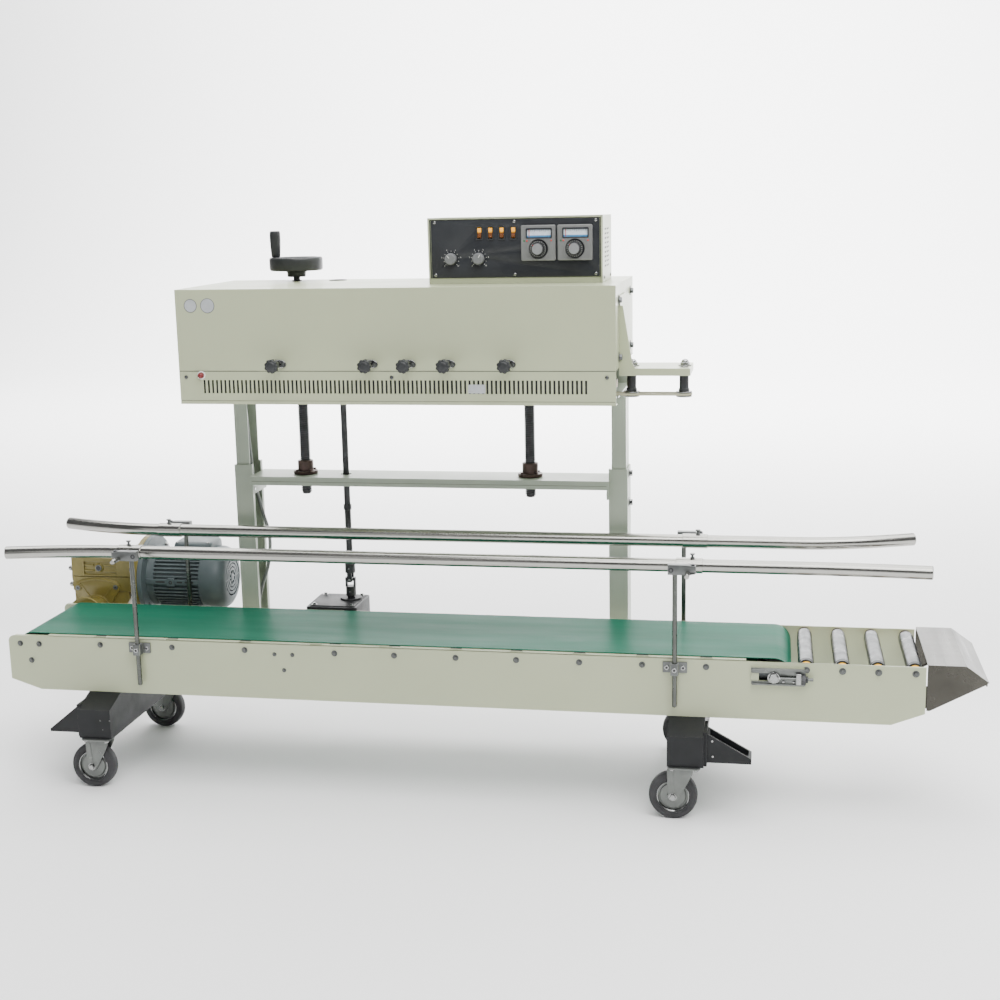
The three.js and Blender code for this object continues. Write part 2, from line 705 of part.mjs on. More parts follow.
function infeedArm() {
  const { x0, x1, y0, y1, z0, z1 } = ARM;
  const gusset = [[x0, z0], [x0 + 33, z1], [x0 + 27, z1 + 11], [x0 + 8, 1042], [x0, 1042]];
  return cut(
    join(
      box(x0, x1, y0, y1, z1 - SHEET, z1),
      box(x0, x1, y0, y0 + SHEET, z0, z1),
      box(x0, x1, y1 - SHEET, y1, z0, z1),
      box(x1 - SHEET, x1, y0, y1, z0, z1),
      box(x0, x0 + SHEET, y0, y1, z0, 1062),
      prismY(outline(gusset), y0, y0 + SHEET),
    ),
    rod('z', 5.8, z1 - 9, z1 + 9, SPINDLE_XS[0], ARM.spindleY),
    rod('z', 5.8, z1 - 9, z1 + 9, SPINDLE_XS[1], ARM.spindleY),
  );
}

function infeedPulley() {
  return join(
    rod('z', 16.5, 854.5, 866, 0, 0),
    rod('z', 9.5, 865, ARM.z1 - SHEET - GAP, 0, 0),
    rod('z', 5.4, 910, 921, 0, 0),
  );
}

// The rocker tilts about a local X axis through its origin.
function rockerSwitch() {
  const half = ROCKER.width / 2;
  return prismX(
    outline([[-2, -11], [3, -9.5], [5, 0], [3, 9.5], [-5, 10.8], [-2.4, 0]]),
    -half,
    half,
  );
}

function potKnob() {
  return join(
    rod('y', POT.radius, BOX.y0 - 16.5, BOX.y0 - 0.6, 0, 0, 16),
    rod('y', 4, BOX.y0 - 1, BOX.y0 + 16, 0, 0),
  );
}

function dialKnob() {
  return join(
    rod('y', DIAL.skirt, BOX.y0 - 14, BOX.y0 - 10.5, 0, 0, 20),
    rod('y', DIAL.radius, BOX.y0 - 26, BOX.y0 - 13, 0, 0, 20),
    rod('y', 5, BOX.y0 - 11, BOX.y0 + 20, 0, 0),
  );
}

// ---------------------------------------------------------------- put together
const fromFront = (distance) => distance;
const fromBack = (distance) => PLATE.width - distance;
place(conveyor, 'front_side_plate', sidePlate(fromFront, -POST.frontY), 'cream');
const shaftHole = rod('y', 10.7, PLATE.width - 9, PLATE.width + 9, ROLLER.driveX, ROLLER.z);
place(
  conveyor, 'rear_side_plate',
  cut(sidePlate(fromBack, POST.rearY - PLATE.width), shaftHole), 'cream',
);
place(conveyor, 'slider_bed', sliderBed(), 'cream');
place(conveyor, 'conveyor_belt', beltLoop(), 'belt');
place(conveyor, 'drive_roller', driveRoller(), 'black', ROLLER.driveX, 0, ROLLER.z);
place(conveyor, 'tail_roller', tailRoller(), 'steel', ROLLER.tailX, 0, ROLLER.z);
place(
  conveyor, 'tail_axle', rod('y', TAKE_UP.axle, -TAKE_UP.out, PLATE.width + TAKE_UP.out, 0, 0),
  'steel', ROLLER.tailX, 0, ROLLER.z,
);
GRAVITY.xs.forEach((x, index) => {
  place(conveyor, `gravity_roller_${index + 1}`, gravityRoller(), 'zinc', x, 0, GRAVITY.z);
});
place(conveyor, 'infeed_chute', infeedChute(), 'stainless');
place(conveyor, 'left_foot_beam', footBeam(-1), 'black', FOOT.leftX);
place(conveyor, 'right_foot_beam', footBeam(1), 'black', FOOT.rightX);

const ENDS = ['left', 'right'];
const SIDES = ['front', 'rear'];
ENDS.forEach((end, endIndex) => {
  SIDES.forEach((side, sideIndex) => {
    const x = CASTER.xs[endIndex];
    const y = CASTER.ys[sideIndex];
    const caster = new THREE.Group();
    caster.position.set(x, y, 0);
    conveyor.add(caster);
    place(caster, `caster_fork_${side}_${end}`, casterFork(), 'zinc');
    place(
      caster, `caster_wheel_${side}_${end}`, casterWheel(), 'tyre',
      -CASTER.trail, 0, CASTER.wheel,
    );
    place(
      conveyor, `rail_post_${side}_${end}`, railPost(endIndex === 0 ? -1 : 1), 'stainless',
      POST.xs[endIndex], side === 'front' ? POST.frontY : POST.rearY,
    );
  });
});
place(conveyor, 'guide_rail_front', guideRail(RAIL.frontY, -1), 'stainless');
place(conveyor, 'guide_rail_rear', guideRail(RAIL.rearY, 1), 'stainless');

place(stand, 'stand_frame', standFrame(), 'cream');
place(stand, 'lift_nut_left', liftNut(), 'bronze', LIFT.leftX, LIFT_Y);
place(stand, 'lift_nut_right', liftNut(), 'bronze', LIFT.rightX, LIFT_Y);
place(stand, 'bevel_gearbox', bevelGearbox(), 'black');
place(stand, 'drive_shaft', driveShaft(), 'black', SHAFT.x, SHAFT.y);
place(stand, 'worm_gearbox', wormGearbox(), 'gold');
place(stand, 'motor_housing', motorHousing(), 'motor');
place(stand, 'wiring_conduit', wiringConduit(), 'grey');

place(head, 'head_frame', headFrame(), 'cream');
place(head, 'head_cover', headCover(), 'cream');
place(head, 'vent_panel', ventPanel(), 'cream');
place(head, 'control_box', controlBox(), 'cream');
place(head, 'handwheel', handwheel(), 'plastic', LIFT.leftX, LIFT_Y);
place(head, 'crank_grip', crankGrip(), 'plastic', LIFT.leftX - WHEEL.gripRadius, LIFT_Y);
place(head, 'lift_screw_left', leftLiftScrew(), 'black', LIFT.leftX, LIFT_Y);
place(head, 'lift_screw_right', rightLiftScrew(), 'black', LIFT.rightX, LIFT_Y);
KNOB.xs.forEach((x, index) => {
  place(head, `pressure_knob_${index + 1}`, pressureKnob(), 'plastic', x, 0, KNOB.z);
});
place(head, 'infeed_arm', infeedArm(), 'cream');
place(head, 'infeed_pulley_inner', infeedPulley(), 'black', SPINDLE_XS[0], ARM.spindleY);
place(head, 'infeed_pulley_outer', infeedPulley(), 'black', SPINDLE_XS[1], ARM.spindleY);
ROCKER.xs.forEach((x, index) => {
  place(head, `rocker_switch_${index + 1}`, rockerSwitch(), 'amber', x, BOX.y0 + 1, ROCKER.z);
});
POT.xs.forEach((x, index) => {
  place(head, `speed_knob_${index + 1}`, potKnob(), 'grey', x, 0, POT.z);
});
DIAL.xs.forEach((x, index) => {
  place(head, `thermostat_dial_${index + 1}`, dialKnob(), 'plastic', x, 0, DIAL.z);
});

// The origin is at the middle of the machine's footprint, on the floor.
machine.updateMatrixWorld(true);
const extent = new THREE.Box3().setFromObject(machine, true);
const middle = extent.getCenter(new THREE.Vector3());
machine.position.set(-middle.x, -middle.y, -extent.min.z);
machine.updateMatrixWorld(true);

const group = new THREE.Group();
group.add(machine);
export default group;
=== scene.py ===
"""Looks of the continuous band sealer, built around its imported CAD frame.

Lengths in the piece functions are millimetres in the machine's own frame: X from the drive end of
the side plates, Y from the front plate's outer face, Z from the floor. at() turns them into metres.
"""
import math

import bmesh
import bpy
from mathutils import Matrix, Vector


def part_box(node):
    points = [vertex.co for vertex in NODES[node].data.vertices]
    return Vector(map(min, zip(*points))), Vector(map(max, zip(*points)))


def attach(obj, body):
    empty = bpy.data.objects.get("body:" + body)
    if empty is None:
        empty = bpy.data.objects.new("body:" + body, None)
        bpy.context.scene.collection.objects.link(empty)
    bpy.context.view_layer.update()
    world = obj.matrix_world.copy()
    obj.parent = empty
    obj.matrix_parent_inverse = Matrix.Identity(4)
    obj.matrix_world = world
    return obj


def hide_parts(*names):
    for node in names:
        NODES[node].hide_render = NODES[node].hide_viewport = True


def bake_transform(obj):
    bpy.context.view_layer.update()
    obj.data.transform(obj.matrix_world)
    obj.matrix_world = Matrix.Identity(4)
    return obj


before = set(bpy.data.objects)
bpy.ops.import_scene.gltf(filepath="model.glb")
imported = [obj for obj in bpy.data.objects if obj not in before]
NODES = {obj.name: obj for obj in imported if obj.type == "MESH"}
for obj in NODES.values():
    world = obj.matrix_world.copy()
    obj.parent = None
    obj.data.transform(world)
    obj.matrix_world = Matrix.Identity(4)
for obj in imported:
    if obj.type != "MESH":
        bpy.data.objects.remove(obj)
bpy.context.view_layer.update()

PLATE_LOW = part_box("front_side_plate")[0]
BELT_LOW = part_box("conveyor_belt")[0]
BELT_INSET = 11
ORIGIN = Vector((PLATE_LOW[0], BELT_LOW[1] - BELT_INSET / 1000, 0))


def at(x, y, z):
    """A point of the machine, in metres in the shared frame."""
    return Vector((x / 1000, y / 1000, z / 1000)) + ORIGIN


# ------------------------------------------------------------------ materials
class Look:
    """A procedural material: a Principled shader with helpers that feed its sockets."""

    def __init__(self, name, color, roughness, metallic=0.0, coat=0.0, specular=0.5):
        self.material = bpy.data.materials.new(name)
        self.material.use_nodes = True
        self.tree = self.material.node_tree
        self.shader = self.tree.nodes["Principled BSDF"]
        self.color = color
        self.shader.inputs["Base Color"].default_value = (*color, 1)
        self.shader.inputs["Roughness"].default_value = roughness
        self.shader.inputs["Metallic"].default_value = metallic
        self.shader.inputs["Specular IOR Level"].default_value = specular
        self.shader.inputs["Coat Weight"].default_value = coat
        self.shader.inputs["Coat Roughness"].default_value = 0.12
        self.roughness = roughness
        self.coords = self.tree.nodes.new("ShaderNodeTexCoord")
        self.height = None
        self.paint = None

    def link(self, source, target):
        self.tree.links.new(source, target)

    def noise(self, scale, detail=3.0, stretch=(1, 1, 1), rough=0.55):
        mapping = self.tree.nodes.new("ShaderNodeMapping")
        mapping.inputs["Scale"].default_value = stretch
        self.link(self.coords.outputs["Object"], mapping.inputs["Vector"])
        node = self.tree.nodes.new("ShaderNodeTexNoise")
        node.inputs["Scale"].default_value = scale
        node.inputs["Detail"].default_value = detail
        node.inputs["Roughness"].default_value = rough
        self.link(mapping.outputs["Vector"], node.inputs["Vector"])
        return node.outputs["Fac"]

    def ramp(self, value, low, high, start, end):
        node = self.tree.nodes.new("ShaderNodeMapRange")
        node.inputs["From Min"].default_value = low
        node.inputs["From Max"].default_value = high
        node.inputs["To Min"].default_value = start
        node.inputs["To Max"].default_value = end
        self.link(value, node.inputs["Value"])
        return node.outputs["Result"]

    def mix(self, factor, first, second):
        node = self.tree.nodes.new("ShaderNodeMix")
        node.data_type = "RGBA"
        self.link(factor, node.inputs["Factor"])
        for value, socket in ((first, node.inputs[6]), (second, node.inputs[7])):
            if isinstance(value, tuple):
                socket.default_value = (*value, 1)
            else:
                self.link(value, socket)
        self.paint = node.outputs[2]
        self.link(self.paint, self.shader.inputs["Base Color"])
        return self

    def vary(self, scale, amount, stretch=(1, 1, 1)):
        """Broad lighter and darker patches."""
        dark = tuple(c * (1 - amount) for c in self.color)
        light = tuple(min(1.0, c * (1 + amount)) for c in self.color)
        factor = self.ramp(self.noise(scale, 4, stretch), 0.35, 0.65, 0, 1)
        return self.mix(factor, dark, light)

    def specks(self, scale, low, color, strength=1.0, stretch=(1, 1, 1)):
        """Small marks of another colour where fine noise peaks."""
        factor = self.ramp(self.noise(scale, 5, stretch, 0.7), low, low + 0.08, 0, strength)
        return self.mix(factor, self.paint or self.color, color)

    def wear(self, color, radius, strength):
        """Edges rubbed towards another colour."""
        bevel = self.tree.nodes.new("ShaderNodeBevel")
        bevel.samples = 3
        bevel.inputs["Radius"].default_value = radius
        geometry = self.tree.nodes.new("ShaderNodeNewGeometry")
        dot = self.tree.nodes.new("ShaderNodeVectorMath")
        dot.operation = "DOT_PRODUCT"
        self.link(bevel.outputs["Normal"], dot.inputs[0])
        self.link(geometry.outputs["Normal"], dot.inputs[1])
        edge = self.ramp(dot.outputs["Value"], 0.93, 0.8, 0, 1)
        broken = self.ramp(self.noise(160, 4), 0.42, 0.62, 0, strength)
        product = self.tree.nodes.new("ShaderNodeMath")
        product.operation = "MULTIPLY"
        self.link(edge, product.inputs[0])
        self.link(broken, product.inputs[1])
        return self.mix(product.outputs["Value"], self.paint or self.color, color)

    def shine(self, scale, amount, stretch=(1, 1, 1)):
        """Roughness that wanders about its own value."""
        low = max(0.02, self.roughness - amount)
        result = self.ramp(self.noise(scale, 4, stretch), 0.3, 0.7, low, self.roughness + amount)
        self.link(result, self.shader.inputs["Roughness"])
        return self

    def bump(self, value, depth, strength=1.0):
        node = self.tree.nodes.new("ShaderNodeBump")
        node.inputs["Distance"].default_value = depth
        node.inputs["Strength"].default_value = strength
        self.link(value, node.inputs["Height"])
        if self.height is not None:
            self.link(self.height, node.inputs["Normal"])
        self.height = node.outputs["Normal"]
        self.link(self.height, self.shader.inputs["Normal"])
        return self

    def grain(self, scale, depth, stretch=(1, 1, 1), detail=3.0):
        return self.bump(self.noise(scale, detail, stretch), depth)


def make_looks():
    looks = {}

    def look(name, *values, **named):
        looks[name] = Look(name, *values, **named)
        return looks[name]

    cream = (0.400, 0.432, 0.282)
    look("cream_paint", cream, 0.36, coat=0.15).vary(3, 0.025).specks(
        420, 0.71, (0.38, 0.39, 0.30), 0.35).wear((0.74, 0.75, 0.62), 0.0016, 0.5).shine(
        9, 0.06).grain(900, 0.00006).grain(5, 0.0008)
    # painted shade: a darker, greyer copy of the cream paint for the stand and frames that sit in
    # the head's shade
    look("stand_paint", (0.335, 0.378, 0.300), 0.38, coat=0.1).vary(3, 0.03).specks(
        420, 0.71, (0.33, 0.36, 0.31), 0.35).wear((0.62, 0.65, 0.57), 0.0016, 0.5).shine(
        9, 0.06).grain(900, 0.00006).grain(5, 0.0008)
    look("green_belt", (0.010, 0.105, 0.062), 0.42, specular=0.03).vary(
        4, 0.10, (0.3, 2.5, 1)).specks(260, 0.70, (0.05, 0.24, 0.18), 0.5, (0.2, 1, 1)).shine(
        7, 0.07, (0.3, 2, 1)).grain(1500, 0.00003).grain(6, 0.0009, (0.5, 1.5, 1))
    look("polished_steel", (0.37, 0.365, 0.34), 0.22, 1.0).vary(14, 0.03).shine(
        30, 0.05, (0.15, 1, 1)).grain(1400, 0.00001, (0.05, 1, 1))
    look("chute_steel", (0.060, 0.057, 0.049), 0.30, 0.9).vary(9, 0.14).shine(
        24, 0.08, (1, 0.1, 1)).grain(1100, 0.00004, (1, 0.05, 1)).grain(11, 0.0012)
    look("zinc_plate", (0.150, 0.158, 0.150), 0.36, 0.85).vary(30, 0.08).specks(
        300, 0.66, (0.115, 0.12, 0.118), 0.6).shine(40, 0.09).grain(700, 0.00004)
    look("roller_tube", (0.062, 0.066, 0.068), 0.34, 0.92).vary(26, 0.08, (1, 0.3, 1)).specks(
        240, 0.64, (0.15, 0.155, 0.16), 0.4).shine(40, 0.1).grain(900, 0.00005, (1, 0.2, 1))
    look("bright_steel", (0.30, 0.305, 0.30), 0.22, 1.0).vary(40, 0.05).shine(60, 0.08).grain(
        1300, 0.00002)
    look("brushed_steel", (0.095, 0.10, 0.092), 0.30, 1.0).vary(40, 0.05).shine(60, 0.08).grain(
        1300, 0.00002)
    look("cast_grey", (0.130, 0.137, 0.134), 0.40, 0.7).vary(60, 0.1).specks(
        500, 0.68, (0.19, 0.20, 0.195), 0.4).shine(60, 0.08).grain(900, 0.00006)
    look("screw_steel", (0.105, 0.11, 0.108), 0.34, 0.85).vary(60, 0.2).shine(60, 0.1).grain(
        900, 0.00004)
    look("seam_shade", (0.09, 0.095, 0.075), 0.6).vary(30, 0.2).grain(900, 0.00003)
    look("disc_rim", (0.16, 0.165, 0.17), 0.4).vary(60, 0.1).grain(900, 0.00003)
    look("black_coat", (0.010, 0.011, 0.012), 0.46, specular=0.26).vary(14, 0.2).specks(
        300, 0.70, (0.05, 0.05, 0.05), 0.35).wear((0.09, 0.09, 0.09), 0.0015, 0.6).shine(
        20, 0.08).grain(750, 0.00009)
    look("black_oxide", (0.034, 0.035, 0.037), 0.36, 0.35).vary(60, 0.3).shine(70, 0.1).grain(
        900, 0.00004)
    look("black_plastic", (0.017, 0.019, 0.020), 0.42).vary(50, 0.2).shine(60, 0.08).grain(
        1500, 0.00004)
    look("tyre_rubber", (0.028, 0.028, 0.030), 0.66).vary(30, 0.25).specks(
        180, 0.66, (0.09, 0.088, 0.082), 0.5).shine(40, 0.1).grain(500, 0.00012)
    look("gold_enamel", (0.185, 0.150, 0.034), 0.38, 0.15, coat=0.15).vary(18, 0.12).specks(
        260, 0.68, (0.12, 0.10, 0.03), 0.6).wear((0.36, 0.31, 0.12), 0.0015, 0.6).shine(
        30, 0.08).grain(190, 0.0003)
    look("blue_grey_enamel", (0.092, 0.115, 0.120), 0.42, 0.05, specular=0.35).vary(12, 0.1).specks(
        240, 0.69, (0.22, 0.25, 0.26), 0.4).wear((0.25, 0.29, 0.30), 0.0012, 0.5).shine(
        30, 0.08).grain(320, 0.00014)
    look("bronze", (0.075, 0.048, 0.040), 0.42, 0.5).vary(50, 0.25).specks(
        300, 0.66, (0.16, 0.07, 0.05), 0.6).shine(60, 0.1).grain(700, 0.00005)
    look("panel_black", (0.016, 0.018, 0.022), 0.34).vary(20, 0.15).specks(
        700, 0.69, (0.05, 0.052, 0.058), 0.5).shine(30, 0.06).grain(1800, 0.00003)
    look("silver_plastic", (0.27, 0.28, 0.285), 0.34, 0.3).vary(60, 0.06).shine(50, 0.06).grain(
        1500, 0.00003)
    look("bezel_silver", (0.20, 0.204, 0.20), 0.36, 0.35).vary(60, 0.05).shine(50, 0.06).grain(
        1700, 0.00003)
    look("yellow_plastic", (0.80, 0.42, 0.02), 0.35).vary(80, 0.08).shine(60, 0.06).grain(
        900, 0.00004)
    look("red_plastic", (0.17, 0.014, 0.016), 0.30).vary(80, 0.15).shine(60, 0.06).grain(
        900, 0.00005)
    look("white_print", (0.74, 0.75, 0.72), 0.5).vary(120, 0.05).grain(1500, 0.00001)
    look("window_white", (0.72, 0.80, 0.88), 0.15, coat=0.6).vary(160, 0.07).grain(900, 0.00001)
    look("window_blue", (0.10, 0.30, 0.55), 0.2).vary(160, 0.1).grain(900, 0.00001)
    look("lamp_red", (0.60, 0.05, 0.04), 0.25).vary(300, 0.1).grain(900, 0.00001)
    look("lamp_green", (0.04, 0.16, 0.06), 0.25).vary(300, 0.1).grain(900, 0.00001)
    look("guide_belt", (0.36, 0.35, 0.24), 0.48).vary(40, 0.08).shine(50, 0.08).grain(
        700, 0.00008)
    # painted shade: a near-black colour laid in slots, gaps and openings where there is only shade
    look("painted_shade_black", (0.030, 0.031, 0.030), 0.6).vary(20, 0.2).grain(300, 0.0001)
    look("conduit_sleeve", (0.20, 0.21, 0.20), 0.38, 0.3).vary(60, 0.15).shine(60, 0.08).grain(
        900, 0.00004)
    look("ptfe_band", (0.40, 0.27, 0.13), 0.40).vary(60, 0.12).shine(60, 0.08).grain(
        900, 0.00004)
    look("brass_block", (0.50, 0.36, 0.13), 0.34, 1.0).vary(60, 0.1).shine(60, 0.08).grain(
        900, 0.00003)
    look("copper_wire", (0.55, 0.20, 0.09), 0.32, 1.0).vary(90, 0.15).grain(600, 0.0001)
    look("pale_label", (0.42, 0.44, 0.45), 0.36, 0.2).vary(90, 0.05).grain(1500, 0.00001)
    amber = look("amber_lens", (0.80, 0.30, 0.02), 0.22, coat=0.4)
    split = amber.tree.nodes.new("ShaderNodeSeparateXYZ")
    amber.link(amber.coords.outputs["Generated"], split.inputs["Vector"])
    lit = amber.ramp(split.outputs["Z"], 0.48, 0.64, 0, 1)
    amber.mix(lit, (0.13, 0.040, 0.008), (0.95, 0.40, 0.01))
    amber.link(amber.paint, amber.shader.inputs["Emission Color"])
    amber.link(amber.ramp(split.outputs["Z"], 0.48, 0.7, 0.03, 0.55),
               amber.shader.inputs["Emission Strength"])
    amber.grain(1200, 0.00003)
    return {name: item.material for name, item in looks.items()}


LOOKS = make_looks()


# ------------------------------------------------------------------ mesh helpers
def turn_to(axis):
    """The rotation that lays a local Z axis along X, Y or Z."""
    if axis == "x":
        return Matrix(((0, 0, 1), (1, 0, 0), (0, 1, 0))).to_4x4()
    if axis == "y":
        return Matrix(((0, 1, 0), (0, 0, 1), (1, 0, 0))).to_4x4()
    return Matrix.Identity(4)


class Piece:
    """One visible object, gathered from simple closed forms in machine millimetres."""

    def __init__(self, name, body, slot, *looks):
        self.name = name
        self.body = body
        self.slot = slot
        self.looks = (slot, *looks)
        self.bm = bmesh.new()

    def _mark(self, faces, look):
        index = self.looks.index(look) if look else 0
        for face in faces:
            face.material_index = index

    def grid(self, rings, closed_ring=True, closed_path=False, caps=True, look=None):
        """Joins rings of points into a skin, with flat ends when caps is set."""
        rows = [[self.bm.verts.new(point) for point in ring] for ring in rings]
        faces = []
        count = len(rows[0])
        spans = list(zip(rows, rows[1:])) + ([(rows[-1], rows[0])] if closed_path else [])
        for first, second in spans:
            for i in range(count if closed_ring else count - 1):
                j = (i + 1) % count
                faces.append(self.bm.faces.new((first[i], first[j], second[j], second[i])))
        if caps and not closed_path:
            faces.append(self.bm.faces.new(list(reversed(rows[0]))))
            faces.append(self.bm.faces.new(rows[-1]))
        self._mark(faces, look)
        return self

    def box(self, x0, x1, y0, y1, z0, z1, look=None):
        low = [(x0, y0, z0), (x1, y0, z0), (x1, y1, z0), (x0, y1, z0)]
        return self.grid([low, [(x, y, z1) for x, y, _ in low]], look=look)

    def lathe(self, profile, axis="z", centre=(0, 0, 0), sides=48, look=None):
        """A turned form from (radius, height) points; it closes on the axis or on itself."""
        place = Matrix.Translation(centre) @ turn_to(axis)
        closed = profile[0] == profile[-1]
        points = profile[:-1] if closed else profile
        rows = []
        for radius, height in points:
            if radius < 1e-6:
                rows.append([self.bm.verts.new(place @ Vector((0, 0, height)))])
                continue
            ring = []
            for i in range(sides):
                a = 2 * math.pi * i / sides
                spot = Vector((radius * math.cos(a), radius * math.sin(a), height))
                ring.append(self.bm.verts.new(place @ spot))
            rows.append(ring)
        faces = []
        spans = list(zip(rows, rows[1:])) + ([(rows[-1], rows[0])] if closed else [])
        for first, second in spans:
            for i in range(sides):
                j = (i + 1) % sides
                if len(first) == 1 and len(second) == 1:
                    continue
                if len(first) == 1:
                    faces.append(self.bm.faces.new((first[0], second[j], second[i])))
                elif len(second) == 1:
                    faces.append(self.bm.faces.new((first[i], first[j], second[0])))
                else:
                    faces.append(self.bm.faces.new((first[i], first[j], second[j], second[i])))
        self._mark(faces, look)
        return self

    def rod(self, axis, radius, start, end, u, v, chamfer=0.6, sides=40, look=None):
        """A round bar with chamfered ends. u and v are the coordinates across its axis."""
        centre = {"x": (0, u, v), "y": (u, 0, v), "z": (u, v, 0)}[axis]
        c = min(chamfer, radius / 2, (end - start) / 3)
        profile = [(0, start), (radius - c, start), (radius, start + c),
                   (radius, end - c), (radius - c, end), (0, end)]
        return self.lathe(profile, axis, centre, sides, look)

    def ring(self, axis, outer, inner, start, end, u, v, sides=40, look=None):
        centre = {"x": (0, u, v), "y": (u, 0, v), "z": (u, v, 0)}[axis]
        c = min(0.5, (outer - inner) / 4, (end - start) / 4)
        profile = [(inner, start), (outer - c, start), (outer, start + c), (outer, end - c),
                   (outer - c, end), (inner, end), (inner, start)]
        return self.lathe(profile, axis, centre, sides, look)

    def hexagon(self, axis, flats, start, end, u, v, look=None, turn=0.0):
        """A hexagon bar whose far end is rounded off like a bolt head."""
        centre = {"x": (0, u, v), "y": (u, 0, v), "z": (u, v, 0)}[axis]
        place = Matrix.Translation(centre) @ turn_to(axis)
        corner = flats / math.sqrt(3)
        rings = []
        for share, height in ((1, start), (1, end - (end - start) * 0.18), (0.86, end)):
            ring = []
            for i in range(6):
                a = math.pi / 3 * i + turn
                spot = Vector((corner * share * math.cos(a), corner * share * math.sin(a), height))
                ring.append(place @ spot)
            rings.append(ring)
        return self.grid(rings, look=look)

    def bolt(self, axis, flats, face, out, u, v, washer=True, look=None, turn=0.3):
        """A hexagon bolt head on a washer; out is +1 or -1 along the axis."""
        thick = flats * 0.12 if washer else 0
        head = flats * 0.55
        if washer:
            a, b = sorted((face, face + out * thick))
            self.ring(axis, flats * 0.95, flats * 0.3, a, b, u, v, 28, look)
        if out > 0:
            self.hexagon(axis, flats, face + thick, face + thick + head, u, v, look, turn)
        else:
            self.hexagon(axis, flats, face - thick, face - thick - head, u, v, look, turn)
        return self

    def dome_screw(self, axis, radius, face, out, u, v, look=None):
        """A domed screw head."""
        centre = {"x": (0, u, v), "y": (u, 0, v), "z": (u, v, 0)}[axis]
        profile = [(0, face), (radius, face), (radius, face + out * radius * 0.2)]
        for i in range(1, 5):
            a = math.pi / 2 * i / 5
            profile.append((radius * math.cos(a), face + out * radius * (0.2 + 0.45 * math.sin(a))))
        profile.append((0, face + out * radius * 0.66))
        return self.lathe(profile, axis, centre, 20, look)

    def prism(self, axis, outline, start, end, look=None):
        """A flat outline of two coordinates, extruded along X, Y or Z."""
        def spot(u, v, w):
            return {"x": (w, u, v), "y": (u, w, v), "z": (u, v, w)}[axis]
        return self.grid([[spot(u, v, start) for u, v in outline],
                          [spot(u, v, end) for u, v in outline]], look=look)

    def plate(self, axis, outline, holes, start, end, edge=0.4, look=None):
        """A flat plate with holes and rounded edges."""
        curve = bpy.data.curves.new("plate", "CURVE")
        curve.dimensions = "2D"
        curve.fill_mode = "BOTH"
        thickness = abs(end - start)
        curve.extrude = thickness / 2 - edge
        curve.bevel_depth = edge
        curve.bevel_resolution = 1
        curve.offset = -edge
        for points in [outline, *holes]:
            spline = curve.splines.new("POLY")
            spline.points.add(len(points) - 1)
            for point, (u, v) in zip(spline.points, points):
                point.co = (u, v, 0, 1)
            spline.use_cyclic_u = True
        holder = bpy.data.objects.new("plate", curve)
        bpy.context.scene.collection.objects.link(holder)
        bpy.context.view_layer.update()
        evaluated = holder.evaluated_get(bpy.context.evaluated_depsgraph_get())
        mesh = bpy.data.meshes.new_from_object(evaluated)
        middle = (start + end) / 2

        def spot(u, v, w):
            return {"x": (w + middle, u, v), "y": (u, w + middle, v), "z": (u, v, w + middle)}[axis]
        verts = [self.bm.verts.new(spot(*vertex.co)) for vertex in mesh.vertices]
        faces = []
        for polygon in mesh.polygons:
            try:
                faces.append(self.bm.faces.new([verts[i] for i in polygon.vertices]))
            except ValueError:
                continue
        self._mark(faces, look)
        bpy.data.objects.remove(holder)
        bpy.data.curves.remove(curve)
        bpy.data.meshes.remove(mesh)
        return self

    def sweep(self, path, radii, sides=32, look=None, caps=True, closed=False, flat=None):
        """A round or flat section carried along a path of points."""
        points = [Vector(p) for p in path]
        count = len(points)
        rings = []
        side = None
        for i, point in enumerate(points):
            before = points[i - 1] if (i or closed) else point
            after = points[(i + 1) % count] if (i + 1 < count or closed) else point
            tangent = (after - before).normalized()
            if side is None:
                lead = Vector((0, 0, 1)) if abs(tangent.z) < 0.9 else Vector((0, 1, 0))
                side = tangent.cross(lead).normalized()
            side = (side - tangent * side.dot(tangent)).normalized()
            up = side.cross(tangent)
            radius = radii[i] if isinstance(radii, (list, tuple)) else radii
            ring = []
            if flat:
                half_u, half_v = flat
                for a, b in ((-1, -1), (1, -1), (1, 1), (-1, 1)):
                    ring.append(point + side * a * half_u + up * b * half_v)
            else:
                for j in range(sides):
                    a = 2 * math.pi * j / sides
                    ring.append(point + (side * math.cos(a) + up * math.sin(a)) * radius)
            rings.append(ring)
        return self.grid(rings, closed_path=closed, caps=caps, look=look)

    def thread(self, crest, root, pitch, z0, z1, x, y, sides=28, look=None):
        """A screw thread about a vertical axis."""
        form = [(root, 0.0), (root, 0.24), (crest, 0.38), (crest, 0.86), (root, 1.0)]
        steps = int((z1 - z0) / pitch * sides)
        rings = []
        for i in range(steps + 1):
            a = 2 * math.pi * i / sides
            lift = z0 + pitch * i / sides
            rings.append([
                Vector((x + r * math.cos(a), y + r * math.sin(a), min(lift + pitch * t, z1)))
                for r, t in form
            ])
        return self.grid(rings, closed_ring=False, caps=False, look=look)

    def done(self, bevel=0.0, replaces=(), smooth=38, segments=2):
        bmesh.ops.remove_doubles(self.bm, verts=self.bm.verts, dist=0.002)
        bmesh.ops.recalc_face_normals(self.bm, faces=self.bm.faces)
        for vertex in self.bm.verts:
            vertex.co = at(*vertex.co)
        mesh = bpy.data.meshes.new(self.name)
        self.bm.to_mesh(mesh)
        self.bm.free()
        for look in self.looks:
            mesh.materials.append(LOOKS[look])
        finish_mesh(mesh, smooth)
        piece = bpy.data.objects.new(self.name, mesh)
        bpy.context.scene.collection.objects.link(piece)
        if bevel:
            round_edges(piece, bevel, segments)
        if self.body:
            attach(piece, self.body)
        if replaces:
            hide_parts(*replaces)
        return piece


def finish_mesh(mesh, smooth):
    mesh.polygons.foreach_set("use_smooth", [True] * len(mesh.polygons))
    mesh.set_sharp_from_angle(angle=math.radians(smooth))


